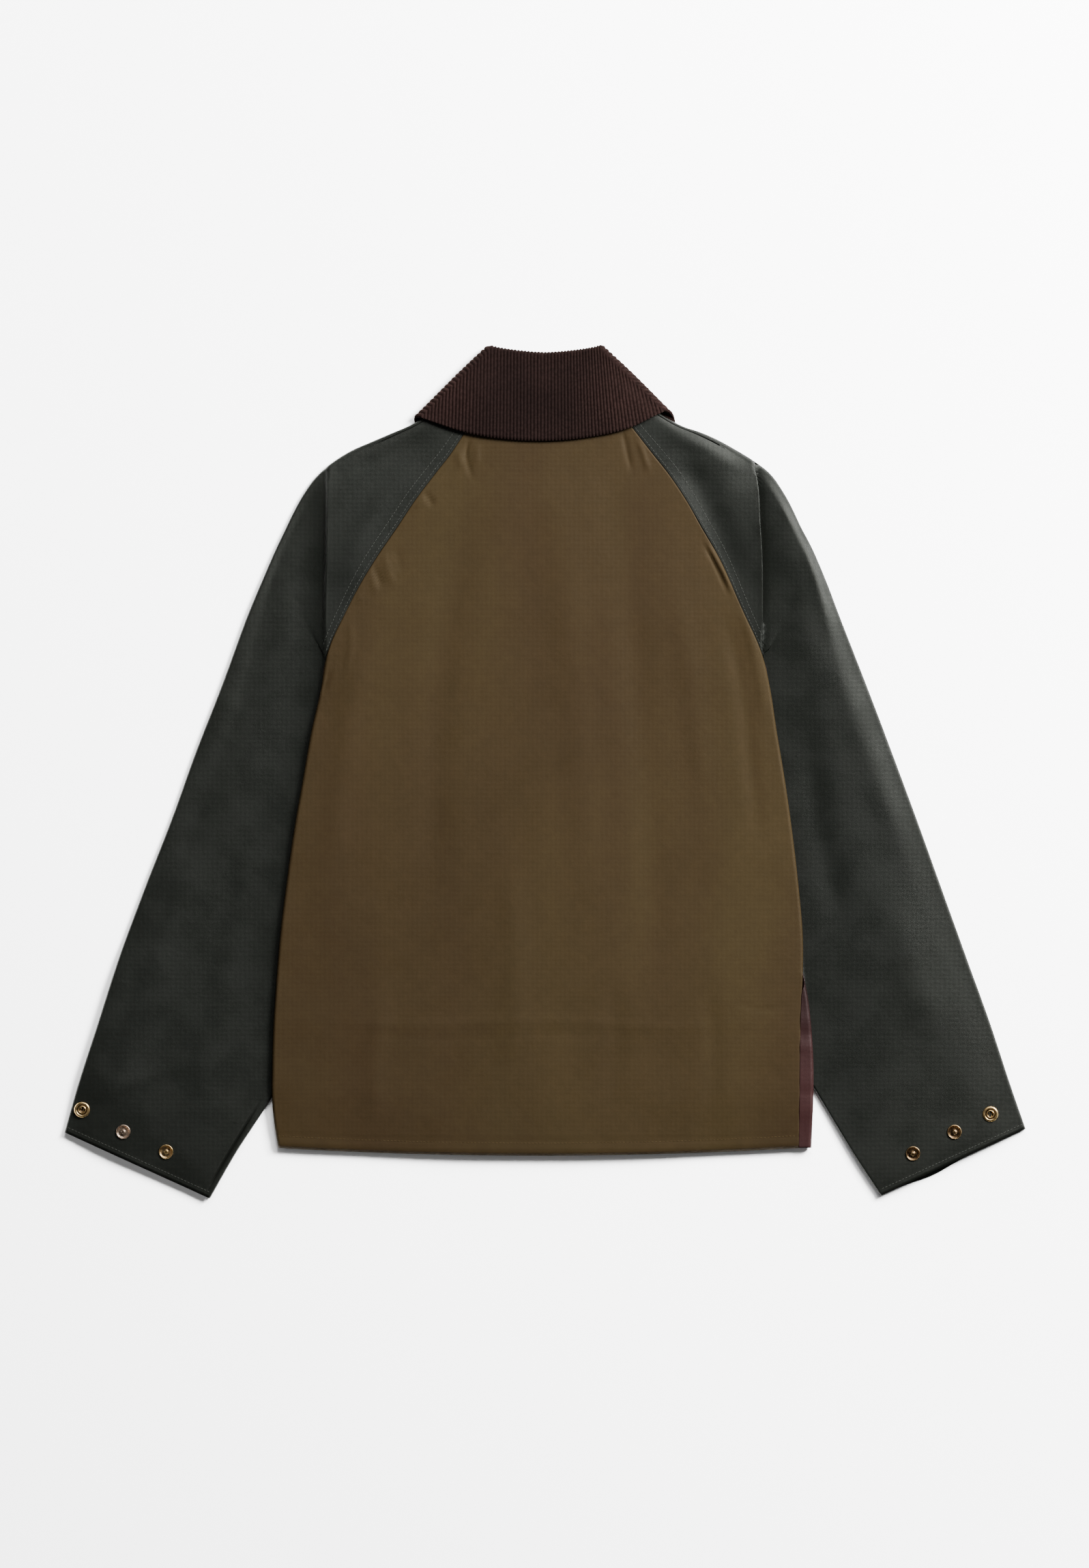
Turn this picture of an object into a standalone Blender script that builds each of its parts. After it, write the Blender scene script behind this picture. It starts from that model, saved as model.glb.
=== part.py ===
"""A raglan waxed cotton jacket with a turned-down corduroy collar, laid flat on its front.

Metres, +Z up. The back faces +Z, the collar points to +Y, and the wearer's left is at -X. The
origin is under the middle of the whole jacket, on the surface that it lies on.

Each cut piece of cloth is an open grid of points, a row for each section of the garment, which a
Solidify modifier gives its wall. The tables hold the sections in millimetres. Above the armpits
the pieces meet at the raglan seams. Below them the body lies on the inner edges of the sleeves.
The collar has a stand, which rises from the neck seam, and a leaf, which falls from the roll at
the top over the back and the shoulders and runs on under the fronts.
"""

import math
from collections import namedtuple

import bmesh
import bpy

MM = 0.001

# Walls and layers, in millimetres.
CLEAR = 0.3
SLEEVE_WALL = 1.8
BODY_WALL = 2.5
LEAF_WALL = 2.8
STAND_WALL = 2.0
WALE_DEPTH = 0.5
WALE_PITCH = 3.2
SEAM_GAP = 0.2
NECK_GAP = 1.0
NECKLINE_GAP = 1.2

SLEEVE_FRONT_LEVEL = SLEEVE_WALL / 2
SLEEVE_BACK_LEVEL = SLEEVE_WALL + CLEAR + SLEEVE_WALL / 2
TUCK_LIFT = 2 * (SLEEVE_WALL + CLEAR)
FRONT_LEVEL = BODY_WALL / 2
SIDE_LEVEL = TUCK_LIFT + BODY_WALL + CLEAR + BODY_WALL / 2
SHOULDER_LEVEL = 7.2
CENTRE_LEVEL = 8.4
NECK_LEVEL = 7.5
LEAF_LIFT = LEAF_WALL + CLEAR
STAND_FRONT_LEVEL = LEAF_LIFT + STAND_WALL / 2
STAND_BACK_LEVEL = STAND_FRONT_LEVEL + STAND_WALL + CLEAR
FOLD_SPARE = 0.05
LEAF_FOLD_LEVEL = STAND_BACK_LEVEL + STAND_WALL / 2 + CLEAR + FOLD_SPARE
FOLD_RADIUS = (LEAF_FOLD_LEVEL - LEAF_WALL) / 2
LEAF_EDGE_LEVEL = 9.1
HEM_CORNER_LEVEL = 6.0
WRAP_LIFT = 1.0
VALLEY_DIP = 0.5

# Each ramp starts at a distance and is complete a width further on. A negative width runs back.
Ramp = namedtuple("Ramp", "start width")

# Ramps of the back: heights along it first, then distances from its middle.
SHOULDER_FALL = Ramp(135.0, 75.0)
WRAP_RISE = Ramp(-150.0, -45.0)
HEM_CORNER_FALL = Ramp(-303.0, -50.0)
NECK_FALL = Ramp(256.0, 30.0)
SLOPE_NARROWING = Ramp(-100.0, 390.0)
VALLEY_TOP = Ramp(150.0, -60.0)
VALLEY_FOOT = Ramp(-320.0, 40.0)
VALLEY_INNER = Ramp(60.0, 40.0)
VALLEY_OUTER = Ramp(165.0, -30.0)
FLAT_HALF_WIDTH = 45.0
SLOPE_END_AT_HEM = 175.0
SLOPE_END_AT_NECK = 62.0

# Ramps of the sleeves: distances from the outer fold, from the body and from the collar's leaf.
CROWN_RISE = Ramp(0.0, 40.0)
CROWN_START = Ramp(20.0, 30.0)
LEAF_RISE = Ramp(32.0, -18.0)

# Front closure, in millimetres.
LAP = 18.0
CAP_RADIUS = 7.5
CAP_HEIGHT = 1.2
CAP_ROOM = CAP_HEIGHT + CLEAR
LAP_CLEAR = 0.45
LAP_RISE_START = 34.0
LAP_RISE_END_OVER = 21.0
LAP_RISE_END_UNDER = 14.0
CAP_ROOM_RISE = Ramp(232.0, -25.0)
FRONT_SNAPS = 5
FIRST_SNAP_Y = 196.0
SNAP_STEP = 128.0

# The fronts. The first two ramps are shares of the raglan seam, the others heights.
NECKLINE_FOLLOW = Ramp(0.5, -0.5)
ARMPIT_LIFT = Ramp(0.8, 0.2)
HEM_LIFT = Ramp(-352.0, 45.0)
CENTRE_LEVELLING = Ramp(-60.0, 160.0)
UPPER_SLOPE_SHARES = (0.12, 0.42)
TUCK_MARGIN = 5.0
SIDE_MARGIN = 7.0
TUCK_SLOPE = 26.0
CENTRE_LEAD = 1.08
FRONT_SPANS = (2, 3, 4, 2, 3)

# The right front's turn on to the back.
WRAP_WIDENING = Ramp(-186.0, -28.0)
WRAP_SLIVER = 0.08
WRAP_LEAD = 50.0
WRAP_STEPS = 7

BACK_COLUMNS = 18
SLEEVE_BACK_COLUMNS = 13
SLEEVE_FRONT_COLUMNS = 9

ARMPIT_Y = 106.0
SLEEVE_CROWN = 2.5
SHOULDER_ROLL = 15.0
CREASE_STEP = 11.0

# The back. Each row runs from the left edge to the right one. bow lowers its middle, and tilt is
# how much higher its right end lies. The rows above the armpits end on the raglan seams.
BackRow = namedtuple("BackRow", "y left right bow tilt")
RAGLAN_ROWS = [
    BackRow(354.9, -51.2, 54.4, -9.3, 3.2),
    BackRow(338.0, -63.4, 67.5, -6.0, 4.5),
    BackRow(320.3, -75.5, 80.6, -3.0, 5.8),
    BackRow(298.9, -88.3, 98.6, -1.0, 2.0),
    BackRow(279.7, -102.5, 114.6, 0.0, 0.0),
    BackRow(256.0, -120.5, 130.6, 0.0, 0.0),
    BackRow(229.1, -138.5, 146.2, 0.0, 0.0),
    BackRow(202.9, -156.5, 161.3, 0.0, 0.0),
    BackRow(174.1, -174.1, 174.7, 0.0, 0.0),
    BackRow(145.3, -188.8, 187.2, 0.0, 0.0),
    BackRow(120.0, -200.5, 198.8, 0.0, 0.0),
    BackRow(ARMPIT_Y, -204.8, 203.9, 0.0, 0.0),
]
SIDE_ROWS = [
    BackRow(79.4, -209.3, 209.9, 0.0, 0.0),
    BackRow(36.5, -218.9, 216.6, 0.0, 0.0),
    BackRow(-3.8, -226.0, 223.4, 0.0, 0.0),
    BackRow(-55.7, -235.0, 230.8, 0.0, 0.0),
    BackRow(-107.5, -242.3, 236.8, 0.0, 0.0),
    BackRow(-155.5, -248.0, 240.8, 0.0, 0.0),
    BackRow(-186.0, -250.6, 240.8, 0.0, 0.0),
    BackRow(-200.0, -251.7, 240.2, 0.0, 0.0),
    BackRow(-214.0, -252.6, 239.6, -0.4, 0.0),
    BackRow(-235.5, -254.0, 238.7, -1.0, 0.0),
    BackRow(-275.0, -255.2, 238.2, -2.0, 0.0),
    BackRow(-305.0, -255.4, 238.0, -3.0, 0.0),
    BackRow(-330.0, -253.2, 237.7, -5.0, 0.0),
    BackRow(-352.3, -249.6, 237.4, -7.1, 0.0),
]

# The jacket's right edge where the right front wraps round onto the back.
WrapRow = namedtuple("WrapRow", "y right")
WRAP_ROWS = [
    WrapRow(-186.0, 241.4),
    WrapRow(-200.0, 244.2),
    WrapRow(-214.0, 246.6),
    WrapRow(-235.5, 249.0),
    WrapRow(-275.0, 251.4),
    WrapRow(-305.0, 251.3),
    WrapRow(-330.0, 250.6),
    WrapRow(-352.3, 249.6),
]

# The outer fold of each sleeve, and below the armpit its inner fold, for the same section.
SleeveRow = namedtuple("SleeveRow", "outer_x outer_y inner_x inner_y")
LEFT_SHOULDER = [
    (69.8, 357.1),
    (98.6, 341.1),
    (126.5, 325.1),
    (144.0, 317.7),
    (161.0, 310.5),
    (181.5, 301.6),
    (201.0, 289.3),
    (215.0, 276.5),
    (226.6, 260.5),
    (235.5, 244.5),
    (243.2, 228.5),
    (250.9, 212.5),
]
RIGHT_SHOULDER = [
    (69.8, 357.1),
    (98.6, 341.1),
    (126.5, 325.1),
    (146.0, 318.4),
    (161.0, 312.0),
    (178.0, 302.8),
    (195.8, 291.8),
    (211.2, 279.7),
    (224.6, 260.5),
    (233.0, 244.5),
    (240.5, 228.5),
    (249.0, 212.5),
]
LEFT_SLEEVE = [
    SleeveRow(265.0, 180.5, 188.2, 84.5),
    SleeveRow(278.4, 148.5, 172.2, 49.3),
    SleeveRow(302.0, 84.5, 162.6, 14.0),
    SleeveRow(327.0, 20.5, 162.0, -54.4),
    SleeveRow(350.0, -43.5, 174.0, -123.5),
    SleeveRow(375.0, -107.5, 199.7, -187.5),
    SleeveRow(398.7, -171.5, 225.3, -250.9),
    SleeveRow(419.2, -235.5, 258.6, -309.1),
    SleeveRow(437.8, -293.1, 291.2, -359.7),
    SleeveRow(450.6, -337.9, 314.2, -400.0),
]
RIGHT_SLEEVE = [
    SleeveRow(263.0, 180.5, 188.2, 84.5),
    SleeveRow(275.2, 148.5, 172.2, 49.3),
    SleeveRow(300.2, 84.5, 162.6, 14.0),
    SleeveRow(324.5, 20.5, 162.0, -54.4),
    SleeveRow(348.2, -43.5, 174.0, -123.5),
    SleeveRow(371.2, -107.5, 199.7, -187.5),
    SleeveRow(394.2, -171.5, 225.3, -250.9),
    SleeveRow(417.3, -235.5, 258.6, -308.5),
    SleeveRow(435.8, -291.8, 290.6, -361.6),
    SleeveRow(450.6, -334.7, 314.2, -397.4),
]

# The crease that runs down from each shoulder to the armpit: distance from the middle at a height.
CreasePoint = namedtuple("CreasePoint", "y x")
LEFT_CREASE = [CreasePoint(300.0, 205.0), CreasePoint(255.0, 202.0), CreasePoint(ARMPIT_Y, 204.0)]
RIGHT_CREASE = [CreasePoint(296.0, 194.0), CreasePoint(255.0, 201.0), CreasePoint(ARMPIT_Y, 204.0)]

# The front neckline, a quarter ellipse on each side, and the front raglan seams.
NECK_CENTRE_Y = 357.0
NECK_HALF_WIDTH = 69.0
NECK_DROP = 107.0
NECK_SPLIT = math.radians(30.0)
FRONT_SEAM_SHARES = [0.0, 0.07, 0.14, 0.22, 0.31, 0.41, 0.52, 0.63, 0.74, 0.85, 0.93, 1.0]
FRONT_ARMPIT_CENTRE_Y = 96.0

# The collar. The leaf's fold lines run down from the corners of the roll to the shoulders. At the
# front the leaf ends in a point, and the roll ends near the middle.
COLLAR_SIDE = (127.4, 329.6)
COLLAR_CORNER = (55.5, 399.8)
COLLAR_POINT = (92.0, 232.0)
ROLL_END = (20.0, 292.0)
ROLL_Y = 398.6
ROLL_DIP = 5.6
LEAF_ROWS = 4
FOLD_STEPS = 4
FLAP_STATIONS = 5
LEFT_WALE_LEAN = math.radians(4.0)
RIGHT_WALE_LEAN = math.radians(16.0)
LEAF_SETTLING = Ramp(354.0, 30.0)
LEAF_FOLD_REACH = 14.0
FLAP_STAGGER = 2.0
ABOVE_ROLL = 20.0
HALVINGS = 40
STAND_STATIONS = 8
STAND_ROWS = 2
STAND_START = 0.03
STAND_END = math.radians(83.0)
STAND_SIDE_INSET = 2.0
STAND_HEAD_INSET = 1.6
STAND_TOP_DROP = 2.0

# The leaf's lower edge over the back, from its left end to its right one.
EdgePoint = namedtuple("EdgePoint", "x y")
LEAF_EDGE = [
    EdgePoint(-117.0, 332.6),
    EdgePoint(-101.8, 327.0),
    EdgePoint(-74.2, 318.1),
    EdgePoint(-25.0, 311.0),
    EdgePoint(0.6, 310.4),
    EdgePoint(39.0, 313.6),
    EdgePoint(80.6, 323.2),
    EdgePoint(103.0, 334.0),
    EdgePoint(111.0, 337.8),
]

# The cuff snaps: where each one sits, and its turned profile.
Snap = namedtuple("Snap", "name x y stud")
CUFF_SNAPS = [
    Snap("cuff_left_socket", -434.0, -316.6, False),
    Snap("cuff_left_stud_1", -395.4, -337.3, True),
    Snap("cuff_left_stud_2", -355.4, -356.0, True),
    Snap("cuff_right_stud_2", 344.8, -357.6, True),
    Snap("cuff_right_stud_1", 383.5, -337.4, True),
    Snap("cuff_right_socket", 417.3, -320.7, False),
]
# Radius and height in millimetres, from the centre line over the top and down the outside.
SOCKET_PROFILE = [(2.5, 0.0), (2.5, 1.6), (3.6, 2.2), (5.6, 2.2), (7.0, 1.4), (7.5, 0.0)]
STUD_PROFILE = [(0.0, 3.2), (1.5, 3.0), (1.9, 2.3), (1.6, 0.8), (4.6, 0.7), (5.9, 1.4), (6.8, 0.0)]
CAP_PROFILE = [(0.0, CAP_HEIGHT), (5.0, CAP_HEIGHT), (CAP_RADIUS, 0.5), (CAP_RADIUS, 0.0)]
TURN_STEPS = 16
CUFF_SLANT = 0.9

OLIVE = (0.084, 0.054, 0.026)
BURGUNDY = (0.050, 0.022, 0.022)
DARK_GREEN = (0.027, 0.028, 0.024)
CORDUROY = (0.027, 0.012, 0.011)
BRASS = (0.42, 0.30, 0.14)


def share(value):
    """value held between 0 and 1 and eased at both ends."""
    held = min(1.0, max(0.0, value))
    return held * held * (3 - 2 * held)


def along_ramp(value, ramp):
    """0 where the ramp starts, 1 where it is complete, and eased between them."""
    return share((value - ramp.start) / ramp.width)


def mix(a, b, t):
    return a + (b - a) * t


def interpolate(pairs, at):
    """The second number of the pairs at a value of the first, which falls from pair to pair."""
    for (high, at_high), (low, at_low) in zip(pairs, pairs[1:]):
        if at >= low:
            return mix(at_low, at_high, min(1.0, (at - low) / (high - low)))
    return pairs[-1][1]


# ---------------------------------------------------------------- levels


def side_level(y, right_side):
    """Middle of the back's wall along the jacket's sides and raglan seams."""
    level = mix(SIDE_LEVEL, SHOULDER_LEVEL, along_ramp(y, SHOULDER_FALL))
    if right_side:
        level += WRAP_LIFT * along_ramp(y, WRAP_RISE)
    return mix(level, HEM_CORNER_LEVEL, along_ramp(y, HEM_CORNER_FALL))


def back_level(x, y):
    """Middle of the back's wall: flat over the lapped fronts, lower between them and the sides."""
    edge = side_level(y, x > 0)
    centre = mix(CENTRE_LEVEL, NECK_LEVEL, along_ramp(y, NECK_FALL))
    slope_end = mix(SLOPE_END_AT_HEM, SLOPE_END_AT_NECK, along_ramp(y, SLOPE_NARROWING))
    slope = Ramp(FLAT_HALF_WIDTH, slope_end - FLAT_HALF_WIDTH)
    level = mix(centre, edge, along_ramp(abs(x), slope))
    dip = along_ramp(abs(x), VALLEY_INNER) * along_ramp(abs(x), VALLEY_OUTER)
    return level - VALLEY_DIP * dip * along_ramp(y, VALLEY_TOP) * along_ramp(y, VALLEY_FOOT)


def past_crease(x, y, crease):
    """1 on the shoulder's side of the crease, 0 on the sleeve's side and below the armpit."""
    if y < ARMPIT_Y:
        return 0.0
    return share((interpolate(crease, y) - abs(x)) / CREASE_STEP)


def body_edge(y, right_side):
    """Distance from the middle to the body's side edge, for a height below the armpits."""
    rows = [RAGLAN_ROWS[-1]] + SIDE_ROWS
    edge = interpolate([(row.y, row.right if right_side else -row.left) for row in rows], y)
    if right_side and y < WRAP_ROWS[0].y:
        edge = interpolate([(row.y, row.right) for row in WRAP_ROWS], y)
    return edge


def beyond(point, start, end):
    """How far the point lies to the right of the line from start to end."""
    run, rise = end[0] - start[0], end[1] - start[1]
    return ((point[0] - start[0]) * rise - (point[1] - start[1]) * run) / math.hypot(run, rise)


def leaf_lift(x, y):
    """How much the cloth rises over the front of the collar's leaf, which lies under it."""
    point = (abs(x), y)
    outside = max(beyond(point, COLLAR_POINT, COLLAR_SIDE), beyond(point, ROLL_END, COLLAR_POINT))
    return LEAF_LIFT * along_ramp(outside, LEAF_RISE)


def sleeve_back_level(x, y, from_outer, crease):
    """Middle of the upper sleeve's wall. It rolls over at the shoulder and crowns along the arm."""
    raised = past_crease(x, y, crease) * share(from_outer / SHOULDER_ROLL)
    inner_line = interpolate(crease, y) if y > ARMPIT_Y else body_edge(y, x > 0)
    from_body = abs(x) - inner_line
    crown = SLEEVE_CROWN * along_ramp(from_outer, CROWN_RISE) * along_ramp(from_body, CROWN_START)
    return mix(SLEEVE_BACK_LEVEL + leaf_lift(x, y), side_level(y, x > 0), raised) + crown


def sleeve_front_level(x, y, crease):
    raised = past_crease(x, y, crease) * (side_level(y, x > 0) - SHOULDER_LEVEL)
    return SLEEVE_FRONT_LEVEL + raised + leaf_lift(x, y)


# ---------------------------------------------------------------- meshes


def make_material(name, colour, roughness, metallic=0.0):
    material = bpy.data.materials.new(name)
    material.use_nodes = True
    shader = material.node_tree.nodes["Principled BSDF"]
    shader.inputs["Base Color"].default_value = (*colour, 1.0)
    shader.inputs["Roughness"].default_value = roughness
    shader.inputs["Metallic"].default_value = metallic
    return material


def add_object(name, bm, collection, material, smooth=True):
    mesh = bpy.data.meshes.new(name)
    bm.to_mesh(mesh)
    bm.free()
    mesh.materials.append(material)
    if smooth:
        mesh.shade_smooth()
    obj = bpy.data.objects.new(name, mesh)
    collection.objects.link(obj)
    return obj


def cloth_panel(name, rows, wall, collection, material):
    """A grid of points in millimetres, as a mesh in metres with an even wall on both sides."""
    columns = len(rows[0])
    bm = bmesh.new()
    bmesh.ops.create_grid(bm, x_segments=columns - 1, y_segments=len(rows) - 1, size=1)
    bm.verts.ensure_lookup_table()
    for i, row in enumerate(rows):
        for j, point in enumerate(row):
            bm.verts[i * columns + j].co = [value * MM for value in point]
    obj = add_object(name, bm, collection, material)
    solidify = obj.modifiers.new("wall", "SOLIDIFY")
    solidify.thickness = wall * MM
    solidify.offset = 0
    return obj


# ---------------------------------------------------------------- back


def back_row(row):
    left, right = row.left + SEAM_GAP, row.right - SEAM_GAP
    points = []
    for k in range(BACK_COLUMNS + 1):
        t = k / BACK_COLUMNS
        x = mix(left, right, t)
        y = row.y + row.tilt * (t - 0.5) + row.bow * 4 * t * (1 - t)
        points.append((x, y, back_level(x, y)))
    return points


def make_back(collection, material):
    rows = [back_row(row) for row in RAGLAN_ROWS + SIDE_ROWS]
    return cloth_panel("back", rows[::-1], BODY_WALL, collection, material)


# ---------------------------------------------------------------- fronts


def neck_ellipse(angle, inset=0.0):
    """A point on the front neckline: angle 0 at the side of the neck, a right angle at the centre."""
    half_width, drop = NECK_HALF_WIDTH - inset, NECK_DROP - inset
    return half_width * math.cos(angle), NECK_CENTRE_Y - drop * math.sin(angle)


def front_seam(side_x):
    """The front raglan seam, from the neckline to the armpit, as distances from the middle."""
    top_x, top_y = neck_ellipse(NECK_SPLIT)
    return [(mix(top_x, side_x, t), mix(top_y, ARMPIT_Y, t)) for t in FRONT_SEAM_SHARES]


def tuck_line(sleeve_rows, side_x):
    """The sleeve's inner fold under the body, from the armpit down, as (y, distance) pairs."""
    return [(ARMPIT_Y, side_x)] + [(row.inner_y, row.inner_x) for row in sleeve_rows]


def front_breaks(side, y, tuck, lift):
    """Distances from the middle of a section's corners: side edge, end of the lift, foot of it."""
    if y <= ARMPIT_Y and lift > 0:
        top = min(side - SIDE_MARGIN, interpolate(tuck, y) - TUCK_MARGIN)
        return side, top, top - TUCK_SLOPE
    top, foot = (mix(side, FLAT_HALF_WIDTH, part) for part in UPPER_SLOPE_SHARES)
    return side, top, foot


def neckline_share(t):
    """How far the front neckline has dropped, from 0 at the raglan seam to 1 at the centre."""
    start = NECK_HALF_WIDTH * math.cos(NECK_SPLIT)
    across = max(0.0, 1 - t) * start / NECK_HALF_WIDTH
    at_seam = math.sin(NECK_SPLIT)
    return (math.sqrt(1 - across * across) - at_seam) / (1 - at_seam)


def front_section(side, side_y, centre_y, lift, tuck, own_side, over, curved):
    """A row of a front, from its side edge to its lapped edge. own_side is -1 or 1, over says
    whether this front lies above the other one, and curved how far the row follows the neckline."""
    side, top, foot = front_breaks(side, side_y, tuck, lift)
    lap_end = LAP_RISE_END_OVER if over else LAP_RISE_END_UNDER
    breaks = [side, top, foot, LAP_RISE_START, lap_end, -LAP]
    distances = [side]
    for near, far, steps in zip(breaks, breaks[1:], FRONT_SPANS):
        distances += [mix(near, far, k / steps) for k in range(1, steps + 1)]
    room = CAP_ROOM * along_ramp(centre_y, CAP_ROOM_RISE)
    rise = room + (BODY_WALL + LAP_CLEAR if over else 0.0)
    points = []
    for d in distances:
        straight = min(1.0, CENTRE_LEAD * (side - d) / (side + LAP))
        drop = mix(straight, neckline_share(min(1.0, (side - d) / side)), curved)
        y = mix(side_y, centre_y, drop)
        raised = lift * share((d - foot) / (top - foot))
        lapped = rise * share((LAP_RISE_START - d) / (LAP_RISE_START - lap_end))
        points.append([own_side * d, y, FRONT_LEVEL + raised + lapped + leaf_lift(d, y)])
    return points


def front_rows(own_side, sleeve_rows, over):
    """All the sections of one front, from the neckline to the hem."""
    side_x = -RAGLAN_ROWS[-1].left if own_side < 0 else RAGLAN_ROWS[-1].right
    tuck = tuck_line(sleeve_rows, side_x)
    rows = []
    for (x, y), t in zip(front_seam(side_x), FRONT_SEAM_SHARES):
        centre_y = mix(NECK_CENTRE_Y - NECK_DROP - SEAM_GAP, FRONT_ARMPIT_CENTRE_Y, t)
        lift = TUCK_LIFT * along_ramp(t, ARMPIT_LIFT)
        curved = along_ramp(t, NECKLINE_FOLLOW)
        rows.append(front_section(x - SEAM_GAP, y, centre_y, lift, tuck, own_side, over, curved))
    for row in SIDE_ROWS:
        side = body_edge(row.y, own_side > 0)
        lift = TUCK_LIFT * along_ramp(row.y, HEM_LIFT)
        lowered = (FRONT_ARMPIT_CENTRE_Y - ARMPIT_Y) * along_ramp(row.y, CENTRE_LEVELLING)
        centre_y = row.y + row.bow + lowered
        rows.append(front_section(side, row.y, centre_y, lift, tuck, own_side, over, 0.0))
    return rows


def wrapped(row):
    """The section with its side edge turned up round the fold and on to the back's side seam."""
    edge_x, edge_y, low = row[0]
    high = side_level(edge_y, True)
    radius = (high - low) / 2
    start_x = edge_x - radius - BODY_WALL / 2
    seam_x = interpolate([(side.y, side.right) for side in SIDE_ROWS], edge_y) + SEAM_GAP
    widened = mix(WRAP_SLIVER, 1.0, along_ramp(edge_y, WRAP_WIDENING))
    length = (math.pi * radius + start_x - seam_x) * widened
    turned_points = []
    for k in range(WRAP_STEPS, 0, -1):
        along = length * k / WRAP_STEPS
        angle = min(along / radius, math.pi)
        straight = max(0.0, along - math.pi * radius)
        x = start_x + radius * math.sin(angle) - straight
        turned_points.append([x, edge_y, low + radius * (1 - math.cos(angle))])
    return turned_points + [[start_x, edge_y, low]] + row[1:]


def make_fronts(collection, material):
    left = front_rows(-1, LEFT_SLEEVE, over=False)
    right = front_rows(1, RIGHT_SLEEVE, over=True)
    spread = []
    for row in right:
        if row[0][1] <= WRAP_ROWS[0].y + WRAP_LEAD:
            spread.append(wrapped(row))
            continue
        steps = WRAP_STEPS + 1
        edge, inner = row[0], row[1]
        extra = [[mix(edge[i], inner[i], j / steps) for i in range(3)] for j in range(steps)]
        spread.append(extra + row[1:])
    cloth_panel("front_left", left[::-1], BODY_WALL, collection, material)
    cloth_panel("front_right", [row[::-1] for row in spread][::-1], BODY_WALL, collection, material)


# ---------------------------------------------------------------- sleeves


def sleeve_sections(shoulder, sleeve_rows, seam):
    """(outer point, inner point) of each section, as distances from the middle and heights."""
    upper = list(zip(shoulder, seam))
    lower = [((row.outer_x, row.outer_y), (row.inner_x, row.inner_y)) for row in sleeve_rows]
    return upper + lower


def sleeve_panel(name, sections, own_side, columns, level, collection, material, neck_row=None):
    rows = []
    for outer, inner in sections:
        width = math.dist(outer, inner)
        gap = SEAM_GAP / width
        row = []
        for j in range(columns + 1):
            t = mix(0, 1 - gap, j / columns)
            place = (mix(outer[0], inner[0], t), mix(outer[1], inner[1], t))
            if neck_row and not rows:
                place = neck_row(t)
            x, y = own_side * place[0], place[1]
            row.append((x, y, level(x, y, t * width)))
        rows.append(row)
    return cloth_panel(name, rows[::-1], SLEEVE_WALL, collection, material)


def make_sleeve(side_name, own_side, shoulder, sleeve_rows, crease, collection, material):
    """The two halves of a raglan sleeve, one above the other."""
    def edge(row):
        return -row.left if own_side < 0 else row.right

    back_seam = [(edge(row), row.y + row.tilt * own_side / 2) for row in RAGLAN_ROWS]
    sections = sleeve_sections(shoulder, sleeve_rows, back_seam)
    sleeve_panel(
        f"sleeve_{side_name}_back", sections, own_side, SLEEVE_BACK_COLUMNS,
        lambda x, y, from_outer: sleeve_back_level(x, y, from_outer, crease),
        collection, material,
    )
    sections = sleeve_sections(shoulder, sleeve_rows, front_seam(edge(RAGLAN_ROWS[-1])))
    sleeve_panel(
        f"sleeve_{side_name}_front", sections, own_side, SLEEVE_FRONT_COLUMNS,
        lambda x, y, from_outer: sleeve_front_level(x, y, crease),
        collection, material,
        neck_row=lambda t: neck_ellipse(NECK_SPLIT * t),
    )


# ---------------------------------------------------------------- collar


def neck_edge(x):
    """Height of the back neck seam at x: along one sleeve's end, the back's top edge, the other."""
    top = RAGLAN_ROWS[0]
    if top.left <= x <= top.right:
        t = (x - top.left) / (top.right - top.left)
        return top.y + top.tilt * (t - 0.5) + top.bow * 4 * t * (1 - t)
    own_side = 1 if x > 0 else -1
    inner_x = top.right if x > 0 else -top.left
    neck_x, neck_y = LEFT_SHOULDER[0]
    t = min(1.0, (abs(x) - inner_x) / (neck_x - inner_x))
    return mix(top.y + top.tilt * own_side / 2, neck_y, t)


def leaf_edge(x):
    """Height of the leaf's lower edge at x."""
    for start, end in zip(LEAF_EDGE, LEAF_EDGE[1:]):
        if x <= end.x:
            break
    return mix(start.y, end.y, (x - start.x) / (end.x - start.x))


def fold_frame():
    """Direction up the right fold line, the way out from it, and the start and end of the line
    where the leaf's inner face begins to turn over."""
    inset = FOLD_RADIUS + LEAF_WALL
    run, rise = COLLAR_CORNER[0] - COLLAR_SIDE[0], COLLAR_CORNER[1] - COLLAR_SIDE[1]
    length = math.hypot(run, rise)
    along = (run / length, rise / length)
    outward = (along[1], -along[0])
    foot = [COLLAR_SIDE[i] - inset * outward[i] for i in range(2)]
    head = [COLLAR_CORNER[i] - inset * outward[i] for i in range(2)]
    return along, outward, foot, head


def roll_height(x, head_x):
    return ROLL_Y - ROLL_DIP * (1 - (x / head_x) ** 2)


def leaf_top(x):
    """Height of the leaf's outline at x, inside its folds: a fold line or the roll."""
    along, _, foot, head = fold_frame()
    if abs(x) > head[0]:
        return foot[1] + (abs(x) - foot[0]) * along[1] / along[0]
    return roll_height(x, head[0])


def wale_top(x, lean):
    """Where a wale that starts at x on the leaf's lower edge meets its outline."""
    low, high = leaf_edge(x), ROLL_Y + ABOVE_ROLL
    for _ in range(HALVINGS):
        middle = (low + high) / 2
        if middle < leaf_top(x + lean * (middle - leaf_edge(x))):
            low = middle
        else:
            high = middle
    return x + lean * (low - leaf_edge(x)), low


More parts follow.
